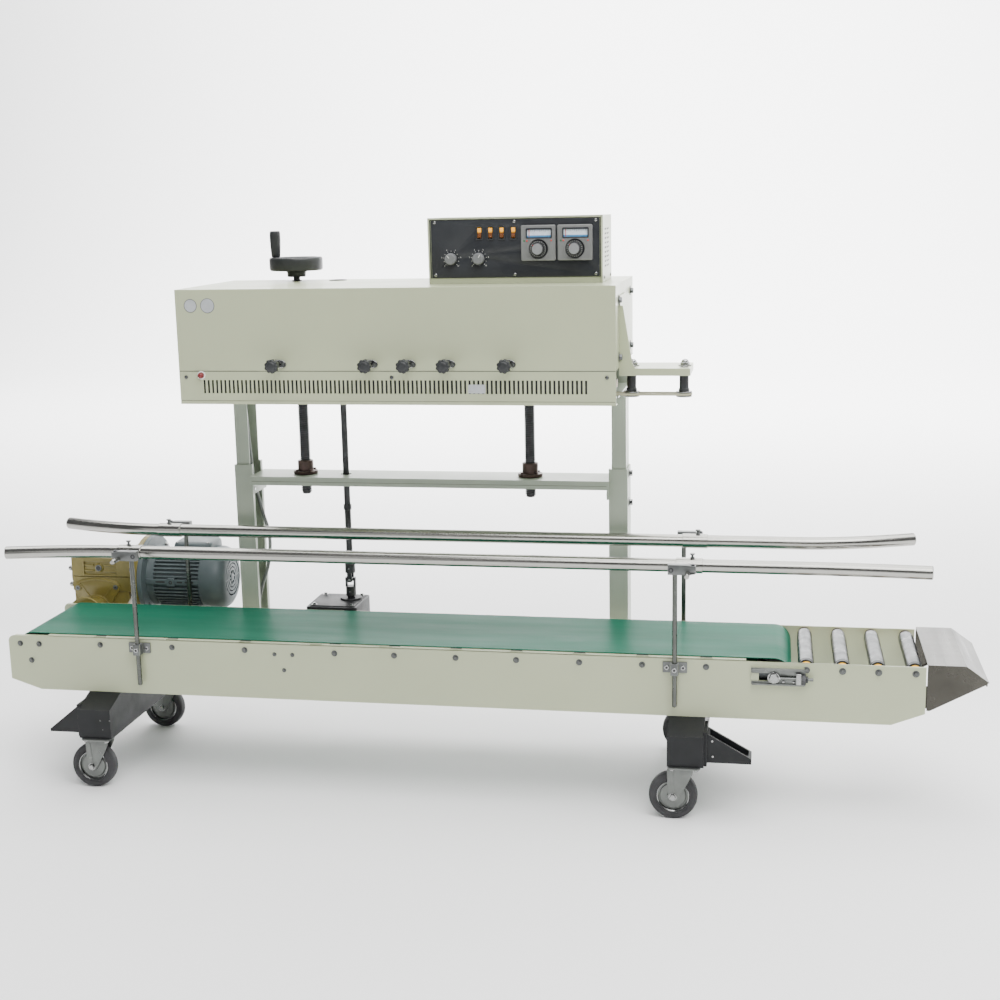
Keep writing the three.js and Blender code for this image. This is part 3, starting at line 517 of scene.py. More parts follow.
def round_edges(piece, width, segments=2):
    """Rounds the sharp edges of a piece by a width in millimetres."""
    bevel = piece.modifiers.new("edges", "BEVEL")
    bevel.width = width / 1000
    bevel.segments = segments
    bevel.limit_method = "ANGLE"
    bevel.angle_limit = math.radians(40)
    bevel.harden_normals = False
    bevel.use_clamp_overlap = True


def dress(node, look, bevel=0.0, segments=2):
    """Gives a CAD node its material and, on sheet and cast forms, rounded edges."""
    piece = NODES[node]
    if not piece.material_slots:
        piece.data.materials.append(LOOKS[look])
    for slot in piece.material_slots:
        slot.material = LOOKS[look]
    if bevel:
        flat = piece.modifiers.new("flat", "DECIMATE")
        flat.decimate_type = "DISSOLVE"
        flat.angle_limit = math.radians(0.6)
        round_edges(piece, bevel, segments)


def obround(u, v, length, radius, steps=8):
    """The outline of a slot that lies along its first coordinate."""
    points = []
    for sign, start in ((1, -math.pi / 2), (-1, math.pi / 2)):
        for i in range(steps + 1):
            a = start + math.pi * i / steps
            points.append((u + sign * (length / 2 - radius) + radius * math.cos(a),
                           v + radius * math.sin(a)))
    return points


def circle(u, v, radius, steps=28):
    return [(u + radius * math.cos(2 * math.pi * i / steps),
             v + radius * math.sin(2 * math.pi * i / steps)) for i in range(steps)]


def rounded(u0, u1, v0, v1, radius, steps=5):
    """A rectangle with round corners."""
    points = []
    for u, v, start in ((u1 - radius, v1 - radius, 0), (u0 + radius, v1 - radius, 90),
                        (u0 + radius, v0 + radius, 180), (u1 - radius, v0 + radius, 270)):
        for i in range(steps + 1):
            a = math.radians(start + 90 * i / steps)
            points.append((u + radius * math.cos(a), v + radius * math.sin(a)))
    return points


def span(face, out, near, far):
    """Two places in front of a face, the lower one first."""
    return sorted((face + out * near, face + out * far))


def around(count, first, radius, u, v):
    """Places evenly round a circle, from an angle in degrees."""
    for i in range(count):
        a = math.radians(first + 360 // count * i)
        yield u + radius * math.cos(a), v + radius * math.sin(a)


# ------------------------------------------------------------------ sizes shared with the frame
PLATE_WIDTH = 270
DRIVE_X, TAIL_X, ROLLER_Z = 52, 1672.5, 301
BELT_INNER = 34.3
BED_BOLTS = [218, 385, 551, 752, 883, 1016, 1145, 1277, 1407, 1537]
GRAVITY_XS = [1737, 1808, 1878, 1950]
GRAVITY_Z = 318
POST_XS = [311, 1474]
RAIL_Z = 517.6
RAIL_RADIUS = 14
RAILS = {"front": (44, -12, -1), "rear": (265, 290, 1)}
RODS = [285, 1500]
FLARE = 230
FLARES = {"front": (8, 1978, 35, 12), "rear": (8, 1966, 50, 62)}
CASTER_XS = {"left": 222, "right": 1497}
TRAIL = 24
WHEEL_Z = 50
PLATE_ROOF = 212.35
CASTER_YS = {"front": -26, "rear": 359.5}
LIFT_XS = {"left": 594, "right": 1124}
LIFT_Y = 346
SHAFT_X = 691
MOTOR_Y, MOTOR_Z = 374, 379
KNOB_XS = [649, 845.8, 926.4, 1009, 1133.5]
KNOB_Z = 931
ROCKER_XS = [1059.2, 1082.3, 1106.1, 1130.4]
POT_XS = [998.4, 1057.1]
POT_Z = 1137.6
DIAL_XS = [1183.2, 1258.9]
DIAL_Z = 1156
SPINDLE_XS = {"inner": 1376, "outer": 1483}
COVER_XS = [427.7, 1352.7]
BAND_XS = [474, 1306]
PANEL_Y = 144.5


def dress_frame():
    for node, look, *edge in (
            ("front_side_plate", "cream_paint", 0.9), ("rear_side_plate", "cream_paint", 0.9),
            ("slider_bed", "cream_paint", 0.9), ("stand_frame", "stand_paint", 1.2, 3),
            ("head_frame", "stand_paint", 0.8), ("head_cover", "cream_paint", 1.6, 3),
            ("vent_panel", "cream_paint"), ("control_box", "cream_paint", 1.4, 3),
            ("infeed_arm", "cream_paint", 1.4, 3), ("infeed_chute", "chute_steel", 0.7),
            ("left_foot_beam", "black_coat", 1.2, 3), ("right_foot_beam", "black_coat", 1.2, 3),
            ("drive_roller", "black_oxide"), ("tail_roller", "roller_tube")):
        dress(node, look, *edge)


# ------------------------------------------------------------------ conveyor
def conveyor_belt():
    belt = Piece("belt_loop", "frame", "green_belt")
    path = []
    for centre, start in ((DRIVE_X, 90), (TAIL_X, 270)):
        for i in range(33):
            a = math.radians(start + 180 * i / 32)
            path.append((centre, math.cos(a), math.sin(a)))
    mid = []
    for i in range(24):
        mid.append((DRIVE_X + (TAIL_X - DRIVE_X) * (i + 1) / 25, 0.0, 1.0))
    low = [(x, 0.0, -1.0) for x, _, _ in mid]
    line = path[:33] + low + path[33:] + list(reversed(mid))
    rings = []
    profile = [(11.4, 0.0), (11, 0.4), (11, 1.3), (11.4, 1.7), (60, 1.7), (135, 1.7), (210, 1.7),
               (258.6, 1.7), (259, 1.3), (259, 0.4), (258.6, 0.0), (210, 0), (135, 0), (60, 0)]
    for centre, c, s in line:
        rings.append([(centre + (BELT_INNER + t) * c, y, ROLLER_Z + (BELT_INNER + t) * s)
                      for y, t in profile])
    belt.grid(rings, closed_path=True, caps=False)
    belt.done(replaces=["conveyor_belt"])
    lap = Piece("belt_lap_seam", "frame", "green_belt")
    lap.prism("z", [(1040, 13), (1044, 13), (1094, 257), (1090, 257)], 264.75, 264.95)
    lap.done()


def plate_fasteners():
    bolts = Piece("plate_bolts", "frame", "screw_steel")
    for face, out in ((0, -1), (PLATE_WIDTH, 1)):
        for x in BED_BOLTS:
            bolts.bolt("y", 7, face, out, x, 317, turn=x)
        for x, z in ((28, 314), (73, 314), (52, 276)):
            bolts.bolt("y", 7, face, out, x, z, turn=0.2 + x)
        for x, z in ((618, 310), (658, 310), (638, 275)):
            bolts.bolt("y", 5, face, out, x, z, turn=0.2 + x)
        for x in GRAVITY_XS:
            bolts.bolt("y", 7.5, face, out, x, GRAVITY_Z, turn=x)
    bolts.done(0.3)
    nuts = Piece("plate_nuts", "frame", "zinc_plate")
    for face, out in ((3, 1), (PLATE_WIDTH - 3, -1)):
        for x in GRAVITY_XS:
            nuts.bolt("y", 13, face, out, x, GRAVITY_Z, turn=x)
    nuts.done(0.3)
    # painted shade: dark strips stand for the shaded gaps between the bed and the belt's edges
    marks = Piece("bed_slot_shadows", "frame", "painted_shade_black")
    for x in BED_BOLTS:
        marks.box(x - 12, x + 12, 6.5, 10.9, 334.6, 335.1)
    marks.done()


def end_bearings():
    housings = Piece("drive_bearings", "frame", "zinc_plate")
    for face, out in ((3.2, 1), (PLATE_WIDTH - 3.2, -1)):
        low, high = span(face, out, 0, 6)
        housings.ring("y", 30, 11, low, high, DRIVE_X, ROLLER_Z, 36)
    housings.done(0.6)


def take_up():
    for side, face, out in (("front", 0, -1), ("rear", PLATE_WIDTH, 1)):
        notch = ROLLER_Z - 8.6, ROLLER_Z + 8.6
        outline = [(1629, 285), (1735.6, 285), (1735.6, 320.5), (1629, 320.5), (1627.5, 319),
                   (1627.5, notch[1] + 1.4), (1629, notch[1])]
        for i in range(13):
            turn = math.radians(90 - 15 * i)
            outline.append((1676 + 8.6 * math.cos(turn), ROLLER_Z + 8.6 * math.sin(turn)))
        outline += [(1629, notch[0]), (1627.5, notch[0] - 1.4), (1627.5, 286.5)]
        guide = Piece(f"take_up_guide_{side}", "frame", "zinc_plate")
        guide.plate("y", outline, [], face + out * 3.05, face + out * 5.2, 0.5)
        low, high = span(face, out, 5.2, 9)
        guide.box(1630, 1733, low, high, 316, 320)
        guide.box(1630, 1733, low, high, 285.6, 289)
        guide.done(0.5)
        screws = Piece(f"take_up_screws_{side}", "frame", "bright_steel")
        for x, z in ((1692, 293.5), (1712, 293.5)):
            screws.dome_screw("y", 3.4, face + out * 5.2, out, x, z)
        low, high = span(face, out, 3.1, 17)
        screws.plate("x", rounded(low, high, 291, 313.5, 1.5), [], 1717, 1727, 0.6)
        screws.done(0.3)
        nuts = Piece(f"take_up_nuts_{side}", "frame", "black_oxide")
        nuts.hexagon("x", 19, 1728.4, 1736.6, face + out * 10, ROLLER_Z)
        nuts.ring("x", 7, 3.6, 1736.8, 1740.4, face + out * 10, ROLLER_Z, 28)
        nuts.done(0.3)
        stud = Piece(f"take_up_stud_{side}", "tail_axle", "bright_steel")
        stud.rod("x", 3, 1664, 1751, face + out * 10, ROLLER_Z, 0.8, 20)
        low, high = span(face, out, 5.6, 7.4)
        stud.ring("y", 12.5, 6, low, high, 1672.5, ROLLER_Z, 32)
        stud.hexagon("y", 18, face + out * 7.4, face + out * 14.4, 1672.5, ROLLER_Z, None, 0.4)
        stud.done(0.4)
        thread = Piece(f"take_up_thread_{side}", "tail_axle", "zinc_plate")
        steps = 60
        rings = []
        for i in range(steps + 1):
            x = 1686 + 65 * i / steps
            radius = 3.55 if i % 2 else 3.02
            rings.append([(x, face + out * 10 + radius * math.cos(2 * math.pi * j / 14),
                           ROLLER_Z + radius * math.sin(2 * math.pi * j / 14)) for j in range(14)])
        thread.grid(rings)
        thread.done(smooth=80)
    axle = Piece("tail_axle_bar", "tail_axle", "bright_steel")
    axle.rod("y", 8, -9, PLATE_WIDTH + 9, TAIL_X, ROLLER_Z, 0.8)
    axle.done(replaces=["tail_axle"])


def gravity_rollers():
    for number, x in enumerate(GRAVITY_XS, 1):
        body = f"gravity_roller_{number}"
        tube = Piece(f"roller_tube_{number}", body, "roller_tube")
        profile = [(13.5, 30), (15.2, 30), (16, 31), (16, 90), (15.97, 135), (16, 180), (16, 239),
                   (15.2, 240), (13.5, 240), (13.5, 30)]
        tube.lathe(profile, "y", (x, 0, GRAVITY_Z), 44)
        tube.done(replaces=[body], smooth=30)
        ends = Piece(f"roller_ends_{number}", body, "black_plastic")
        for start, step in ((22, 1), (248, -1)):
            ends.lathe([(8.6, start), (13.4, start), (15.3, start + step), (15.3, start + step * 8),
                        (13, start + step * 10), (8.6, start + step * 10), (8.6, start)],
                       "y", (x, 0, GRAVITY_Z), 36)
        ends.done(0.2)
        plugs = Piece(f"roller_plugs_{number}", body, "yellow_plastic")
        for start, step in ((10, 1), (260, -1)):
            plugs.lathe([(5.2, start), (9.4, start), (11.4, start + step * 1.6),
                         (11.4, start + step * 12), (5.2, start + step * 12), (5.2, start)],
                        "y", (x, 0, GRAVITY_Z), 32)
        plugs.done(0.2)
        axle = Piece(f"roller_axle_{number}", "frame", "bright_steel")
        axle.rod("y", 4.8, 0.6, PLATE_WIDTH - 0.6, x, GRAVITY_Z, 0.4, 20)
        axle.done()


def chute_trim():
    trim = Piece("chute_hems", "frame", "chute_steel")
    for y0, y1 in ((0.3, 4.8), (PLATE_WIDTH - 4.8, PLATE_WIDTH - 0.3)):
        trim.prism("y", [(1974, 242.3), (1980, 242.3), (2087.5, 301.6), (2087.5, 305.2),
                         (1978.5, 245.2), (1974, 245.2)], y0, y1)
    trim.box(2084.6, 2087.6, 4, PLATE_WIDTH - 4, 296, 305)
    trim.box(1972.2, 1974.6, -0.4, 1.2, 246, 333)
    trim.done(0.5)
    screws = Piece("chute_screws", "frame", "screw_steel")
    for face, out in ((5.4, 1), (PLATE_WIDTH - 5.4, -1)):
        for x, z in ((1965, 256), (1965, 282)):
            screws.bolt("y", 7, face, out, x, z, turn=x + z)
    screws.done(0.2)


# ------------------------------------------------------------------ feet and casters
def foot_details():
    plates = Piece("caster_plates", "frame", "zinc_plate")
    nuts = Piece("caster_plate_bolts", "frame", "bright_steel")
    for x in CASTER_XS.values():
        for y in CASTER_YS.values():
            plates.plate("z", rounded(x - 33, x + 33, y - 44, y + 44, 8),
                         [circle(x, y, 8)], 119.9, 122.8, 0.6)
            for dx in (-24, 24):
                for dy in (-36, 36):
                    nuts.bolt("z", 8, 119.8, -1, x + dx, y + dy, turn=0.4 + dx + dy)
    plates.done()
    nuts.done(0.3)
    bolts = Piece("foot_bolts", "frame", "screw_steel")
    for x in (221, 1499):
        for dx in (-20, 20):
            for y in (16, 254):
                bolts.bolt("z", 9, PLATE_ROOF, 1, x + dx, y, turn=0.2 * y + dx)
    for side, x in ((-1, 178), (1, 1542)):
        for z in (148, 182):
            bolts.bolt("x", 7, x, side, 6, z, turn=z)
    for x, z in ((235, 164.7), (257, 165.2), (239.5, 144.3)):
        bolts.dome_screw("y", 1.8, -62, -1, x, z)
    bolts.done(0.3)
    ends = Piece("outrigger_bolts", "frame", "bright_steel")
    for x, z in ((1552.6, 176.6), (1554, 144)):
        ends.bolt("y", 4.6, -48, -1, x, z, False, None, z)
    ends.done(0.2)


def casters():
    cheek = [(-36, 107), (17, 107), (16, 101), (9, 86), (-2, 66), (-10.5, 50), (-13.5, 44.5),
             (-17.5, 41.2), (-22, 40.4), (-26.5, 41), (-30.5, 43.6), (-33, 48), (-33.8, 56),
             (-35, 85)]
    for side, cy in CASTER_YS.items():
        for end, cx in CASTER_XS.items():
            fork = Piece(f"fork_{side}_{end}", f"caster_fork_{side}_{end}", "zinc_plate")
            fork.lathe([(0, 119.6), (22, 119.6), (26, 118), (26, 115.5), (23.6, 114.4),
                        (24.6, 112.8), (24, 110.6), (16, 110), (0, 110)], "z", (cx, cy, 0), 44)
            crown = rounded(cx - 36, cx + 17, cy - 17.5, cy + 17.5, 3)
            fork.plate("z", crown, [], 106.6, 110.4, 0.8)
            for y0, y1 in ((-17.5, -15.2), (15.2, 17.5)):
                outline = [(cx + x, z) for x, z in cheek]
                fork.plate("y", outline, [], cy + y0, cy + y1, 0.4)
                ridge = [(cx + x, z) for x, z in ((-29, 104), (-24, 104), (-21, 60), (-24, 60))]
                out = -0.9 if y0 < 0 else 0.9
                start = cy + (y0 if y0 < 0 else y1)
                fork.prism("y", ridge, min(start, start + out), max(start, start + out))
            fork.rod("z", 5.5, 119, 127.5, cx, cy, 0.6, 20)
            fork.done(replaces=[f"caster_fork_{side}_{end}"])
            pin = Piece(f"axle_{side}_{end}", f"caster_fork_{side}_{end}", "bright_steel")
            pin.rod("y", 4.6, cy - 17.6, cy + 17.6, cx - TRAIL, WHEEL_Z, 0.4, 24)
            pin.ring("y", 8.6, 4, cy - 18.6, cy - 17.5, cx - TRAIL, WHEEL_Z, 28)
            pin.ring("y", 8.6, 4, cy + 17.5, cy + 18.6, cx - TRAIL, WHEEL_Z, 28)
            pin.hexagon("y", 11, cy - 18.6, cy - 23.6, cx - TRAIL, WHEEL_Z, None, 0.5)
            pin.hexagon("y", 11, cy + 18.6, cy + 24.6, cx - TRAIL, WHEEL_Z, None, 0.2)
            pin.done(0.4)
            caster_wheel(side, end, cx - TRAIL, cy)


def caster_wheel(side, end, x, y):
    body = f"caster_wheel_{side}_{end}"
    tyre = Piece(f"tyre_{side}_{end}", body, "tyre_rubber")
    profile = [(34, -11.5), (36, -12.4), (38.5, -12), (39.2, -13), (44, -13), (47.5, -11.8),
               (49.4, -8.4), (50, -4), (50, 4), (49.4, 8.4), (47.5, 11.8), (44, 13), (39.2, 13),
               (38.5, 12), (36, 12.4), (34, 11.5), (34, -11.5)]
    tyre.lathe(profile, "y", (x, y, WHEEL_Z), 72)
    tyre.done(replaces=[body], smooth=32)
    disc = Piece(f"rim_{side}_{end}", body, "zinc_plate", "bright_steel")
    for s in (-1, 1):
        disc.lathe([(34.4, s * 11.4), (33, s * 12.8), (31.2, s * 11.6), (30.4, s * 8),
                    (34.4, s * 8), (34.4, s * 11.4)], "y", (x, y, WHEEL_Z), 64, "bright_steel")
        disc.lathe([(30.4, s * 7), (27.6, s * 7.2), (26, s * 9.4), (20, s * 10.2), (14, s * 11.6),
                    (12, s * 11.8), (12, s * 8), (20, s * 6), (34.4, s * 5), (34.4, s * 7),
                    (30.4, s * 7)], "y", (x, y, WHEEL_Z), 56)
        disc.lathe([(5.2, s * 14.8), (9, s * 14.8), (10.6, s * 13.6), (11.4, s * 10.6),
                    (11.4, s * 6), (5.2, s * 6), (5.2, s * 14.8)], "y", (x, y, WHEEL_Z), 40,
                   "bright_steel")
    disc.ring("y", 12, 5.2, -5.9 + y, 5.9 + y, x, WHEEL_Z, 32)
    disc.done(smooth=34)


# ------------------------------------------------------------------ guide rails
def rail_points(side, y, out):
    """The rail's centre line: straight, with both ends swept outwards."""
    start, end, at_start, at_end = FLARES[side]
    xs = [start + FLARE * i / 14 for i in range(15)]
    xs += [start + FLARE + (end - start - 2 * FLARE) * i / 6 for i in range(1, 6)]
    xs += [end - FLARE * (14 - i) / 14 for i in range(15)]
    points = []
    for x in xs:
        first = max(start + FLARE - x, 0) / FLARE
        last = max(x - (end - FLARE), 0) / FLARE
        shift = at_start * first ** 1.6 + at_end * last ** 1.6
        points.append((x, y + out * shift, RAIL_Z))
    return points


def guide_rails():
    for side, (y, post_y, out) in RAILS.items():
        body = f"{side}_rail"
        rail = Piece(f"rail_tube_{side}", body, "polished_steel")
        points = rail_points(side, y, out)
        rail.sweep(points, RAIL_RADIUS, 40)
        rail.done(0.8, replaces=[f"guide_rail_{side}"], smooth=50)
        caps = Piece(f"rail_caps_{side}", body, "bright_steel")
        for tip, inner in ((points[0], points[1]), (points[-1], points[-2])):
            run = (Vector(tip) - Vector(inner)).normalized()
            base = Vector(tip) - run * 1.5
            caps.sweep([base, base + run * 1.9, base + run * 2.6], [13.4, 13.1, 11.9], 32)
        caps.done(0.3)
        for x in RODS:
            sleeve = Piece(f"rail_sleeve_{side}_{x}", body, "polished_steel")
            sleeve.ring("x", 15.8, 13.9, x - 27, x + 27, y, RAIL_Z, 48)
            low, high = sorted((y + out * 13.5, post_y + out * 40))
            sleeve.rod("y", 5, low, high, x, RAIL_Z, 0.9, 32)
            if side == "front":
                sleeve.ring("y", 8.5, 5, y - 16.9, y - 15.2, x, RAIL_Z, 28)
            sleeve.done(0.3)
            top = Piece(f"rail_thumb_screw_{side}_{x}", body, "screw_steel")
            spot = x + (6 if x == RODS[1] else -4)
            z = RAIL_Z + 15.8
            top.lathe([(0, z - 1), (4.6, z - 1), (4.6, z + 1.6), (2.3, z + 3), (2.3, z + 5.4),
                       (5.4, z + 8), (5.4, z + 9.8), (0, z + 9.8)], "z", (spot, y, 0), 24)
            top.done(0.3)


def rail_posts():
    for side, (_, post_y, out) in RAILS.items():
        body = f"{side}_posts"
        for end, x, rod_x in (("left", POST_XS[0], RODS[0]), ("right", POST_XS[1], RODS[1])):
            toward = math.copysign(1, rod_x - x)
            post = Piece(f"post_{side}_{end}", body, "brushed_steel")
            post.rod("z", 5, 233, 532, x, post_y, 1.2, 36)
            post.done(replaces=[f"rail_post_{side}_{end}"])
            clamp = Piece(f"post_clamp_{side}_{end}", body, "cast_grey")
            near, edge = x - toward * 14, rod_x + toward * 15.6
            inner = rod_x + toward * 4.4
            outline = [(near, 513), (edge - toward * 12, 513), (edge, 516), (edge, RAIL_Z - 1.1),
                       (inner, RAIL_Z - 1.1), (inner, RAIL_Z + 1.1), (edge, RAIL_Z + 1.1),
                       (edge, 531), (rod_x, 533.4), (near, 533.4)]
            clamp.plate("y", outline if toward > 0 else outline[::-1], [], post_y - 8.6,
                        post_y + 8.6, 0.9)
            clamp.done()
            screws = Piece(f"post_clamp_screws_{side}_{end}", body, "black_oxide")
            low, high = span(post_y, out, 8.4, 9.6)
            screws.ring("y", 5.2, 2.4, low, high, x - toward * 7.4, 523, 24)
            screws.ring("z", 4.6, 2.2, 531.4, 534.4, rod_x + toward * 9.6, post_y, 20)
            screws.done(0.2)
            bracket = Piece(f"post_bracket_{side}_{end}", "frame", "cast_grey")
            plate_face = 0 if side == "front" else PLATE_WIDTH
            base = rounded(x - 25, x + 25, 303, 326, 1.5)
            bracket.plate("y", base, [], plate_face + out * 0.05, plate_face + out * 3.2, 0.5)
            low, high = sorted((plate_face + out * 3, post_y + out * 9.5))
            block = [circle(x, post_y, 5.3)]
            bracket.plate("z", rounded(x - 8.4, x + 8.4, low, high, 2), block, 302, 326.6, 0.8)
            bracket.done()
            grub = Piece(f"post_grub_{side}_{end}", "frame", "bright_steel", "black_oxide")
            for u, face in ((x, post_y + out * 9.4), (x - 16.6, plate_face + out * 3.1),
                            (x + 16.6, plate_face + out * 3.1)):
                low, high = span(face, out, 0, 2.4)
                grub.ring("y", 5.2, 2.6, low, high, u, 314, 24)
                low, high = span(face, out, 0, 1.4)
                grub.rod("y", 2.7, low, high, u, 314, 0.2, 16, "black_oxide")
            grub.done(0.2)


# ------------------------------------------------------------------ lift and stand
def lift():
    for end, body in (("left", "handwheel"), ("right", "lift_screw_right")):
        x = LIFT_XS[end]
        top = 905 if end == "right" else 1115
        screw = Piece(f"screw_{end}", body, "black_oxide")
        neck = 9 if end == "right" else 7.4
        screw.lathe([(0, 594), (8.5, 594), (10.3, 596), (10.3, 845.6), (11.4, 845.8), (11.4, 850.4),
                     (19, 850.6), (19, 857), (17.6, 858), (neck, 858), (neck, top - 1),
                     (neck - 1, top), (0, top)], "z", (x, LIFT_Y, 0), 44)
        screw.thread(12, 10.2, 5, 596.5, 844, x, LIFT_Y, 26)
        screw.done(replaces=[f"lift_screw_{end}"], smooth=34)
        nut = Piece(f"nut_{end}", "frame", "bronze")
        nut.lathe([(12.8, 641.4), (27, 641.4), (28, 642.4), (28, 648), (27, 649), (19, 649),
                   (18, 650.2), (18, 671.4), (16.6, 673), (12.8, 673), (12.8, 641.4)],
                  "z", (x, LIFT_Y, 0), 44)
        for u, v in around(4, 45, 23, x, LIFT_Y):
            nut.rod("z", 3.6, 648.8, 652.4, u, v, 0.6, 18)
        nut.done(0.3, replaces=[f"lift_nut_{end}"])
        bearing = Piece(f"lift_bearing_{end}", "head", "zinc_plate")
        bearing.ring("z", 30, 12.8, 837.5, 845.9, x, LIFT_Y, 40)
        for u, v in around(4, 45, 24, x, LIFT_Y):
            bearing.bolt("z", 7, 837.5, -1, u, v, False)
        bearing.done(0.4)


def drive_shaft():
    shaft = Piece("head_drive_shaft", "drive_shaft", "black_oxide")
    shaft.lathe([(0, 305), (8.5, 305), (8.5, 349), (12, 350), (12, 372), (10.6, 373.4), (0, 373.4)],
                "z", (SHAFT_X, LIFT_Y, 0), 36)
    shaft.lathe([(0, 405), (10.6, 405), (12, 406.4), (12, 426), (10, 428), (7.4, 428), (7.4, 556),
                 (9.2, 557), (9.2, 569), (7.2, 570), (7.2, 1079), (6.2, 1080), (0, 1080)],
                "z", (SHAFT_X, LIFT_Y, 0), 36)
    for s in (-1, 1):
        shaft.box(SHAFT_X + s * 9.8 - 2, SHAFT_X + s * 9.8 + 2, LIFT_Y - 5.5, LIFT_Y + 5.5,
                  372, 394)
        shaft.box(SHAFT_X - 5.5, SHAFT_X + 5.5, LIFT_Y + s * 9.8 - 2, LIFT_Y + s * 9.8 + 2,
                  384, 406)
    shaft.done(0.7, replaces=["drive_shaft"])
    cross = Piece("shaft_cross", "drive_shaft", "bright_steel")
    cross.rod("x", 3.2, SHAFT_X - 13, SHAFT_X + 13, LIFT_Y, 389, 0.6, 20)
    cross.rod("y", 3.2, LIFT_Y - 13, LIFT_Y + 13, SHAFT_X, 389, 0.6, 20)
    cross.box(SHAFT_X - 5, SHAFT_X + 5, LIFT_Y - 5, LIFT_Y + 5, 384, 394)
    cross.rod("y", 2, LIFT_Y - 12.6, LIFT_Y - 8, SHAFT_X, 416, 0.3, 12)
    cross.rod("y", 2, LIFT_Y - 12.6, LIFT_Y - 8, SHAFT_X, 361, 0.3, 12)
    cross.done(0.3)


def bevel_box():
    case = Piece("bevel_case", "frame", "black_coat")
    case.plate("z", rounded(603, 724, 270.4, 392, 7), [], 255, 340, 2)
    case.plate("y", rounded(609, 718, 262, 334, 4), [], 391.6, 395, 0.8)
    case.lathe([(9, 339), (25.5, 339), (25.5, 344), (24, 346), (9, 346), (9, 339)],
               "z", (SHAFT_X, LIFT_Y, 0), 40)
    case.plate("z", rounded(610, 717, 277, 385, 5), [circle(SHAFT_X, LIFT_Y, 27)], 339.6, 342, 0.8)
    case.done(0.5, replaces=["bevel_gearbox"])
    bolts = Piece("bevel_bolts", "frame", "bright_steel")
    for x in (619, 708):
        for y in (286, 376):
            bolts.bolt("z", 7, 342, 1, x, y, turn=x)
        for z in (270, 326):
            bolts.bolt("y", 7, 395, 1, x, z, turn=z)
    bolts.done(0.3)


def stand_bolts():
    bolts = Piece("stand_bolts", "frame", "bright_steel")
    for z in (585, 652):
        bolts.bolt("x", 12, 1348, 1, LIFT_Y, z)
        bolts.bolt("x", 12, 433, -1, LIFT_Y, z)
    for x, out in ((475.5, 1), (1305.8, -1)):
        bolts.bolt("x", 9, x, out, 312, 609, False)
    bolts.done(0.3)
    lugs = Piece("crossbeam_lugs", "frame", "stand_paint")
    for x0, x1 in ((475.2, 479.2), (1302.2, 1306.2)):
        lugs.plate("x", rounded(299, 393, 598, 620.6, 4), [], x0, x1, 0.6)
    lugs.done()
    # painted shade: a thin dark strip stands for the shadow line of the crossbeam's fold
    fold = Piece("crossbeam_fold_shadow", "frame", "seam_shade")
    fold.box(478, 1303, 295.6, 296.2, 629.4, 630.3)
    fold.done()
    feet = Piece("column_feet", "frame", "stand_paint")
    for x0, x1 in ((418, 492), (1289, 1363)):
        feet.plate("z", rounded(x0, x1, 306, 388, 5), [], 250.1, 255, 0.8)
    feet.done()
    floor_bolts = Piece("column_foot_bolts", "frame", "bright_steel")
    for x in (425, 484, 1297, 1356):
        for y in (303, 391):
            floor_bolts.bolt("z", 8, 255, 1, x, (y - LIFT_Y) * 0.82 + LIFT_Y, turn=x)
    floor_bolts.done(0.3)
    ends = Piece("base_rail_caps", "frame", "black_plastic")
    for x0, x1 in ((168, 171.2), (1533.8, 1537)):
        ends.plate("x", rounded(313.5, 379.5, 209.9, 249.5, 3), [], x0, x1, 0.8)
    ends.done()


def wiring_conduit():
    route = [(453, 346, 845.7), (454, 346, 800), (458, 346, 720), (463, 346, 650), (469, 346, 605),
             (484, 345, 545), (496, 344, 500), (497, 344, 460), (489, 345, 415), (473, 346, 370),
             (460, 346, 320), (456, 346, 280), (456, 346, 250.3)]
    knots = [Vector(point) for point in route]
    knots = [knots[0] * 2 - knots[1], *knots, knots[-1] * 2 - knots[-2]]
    fine = []
    for i in range(1, len(knots) - 2):
        a, b, c, d = knots[i - 1:i + 3]
        for j in range(24):
            t = j / 24
            fine.append(0.5 * (2 * b + (c - a) * t + (2 * a - 5 * b + 4 * c - d) * t * t
                               + (3 * b - a - 3 * c + d) * t ** 3))
    fine.append(knots[-2])
    radii = [4.4 if i % 2 else 3.75 for i in range(len(fine))]
    sleeve = Piece("wiring_sleeve", None, "conduit_sleeve")
    sleeve.sweep(fine, radii, 18)
    piece = sleeve.done(replaces=["wiring_conduit"], smooth=60)
    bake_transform(piece)
    glands = Piece("conduit_gland_top", "head", "black_plastic")
    glands.lathe([(4.6, 845.8), (11, 845.8), (11, 842), (8, 841), (6.6, 832), (4.6, 831),
                  (4.6, 845.8)], "z", (453, 346, 0), 24)
    glands.done(0.3)
    low = Piece("conduit_gland_base", "frame", "black_plastic")
    low.lathe([(4.6, 250.2), (11, 250.2), (11, 254), (8, 255), (6.6, 264), (4.6, 265),
               (4.6, 250.2)], "z", (456, 346, 0), 24)
    low.done(0.3)


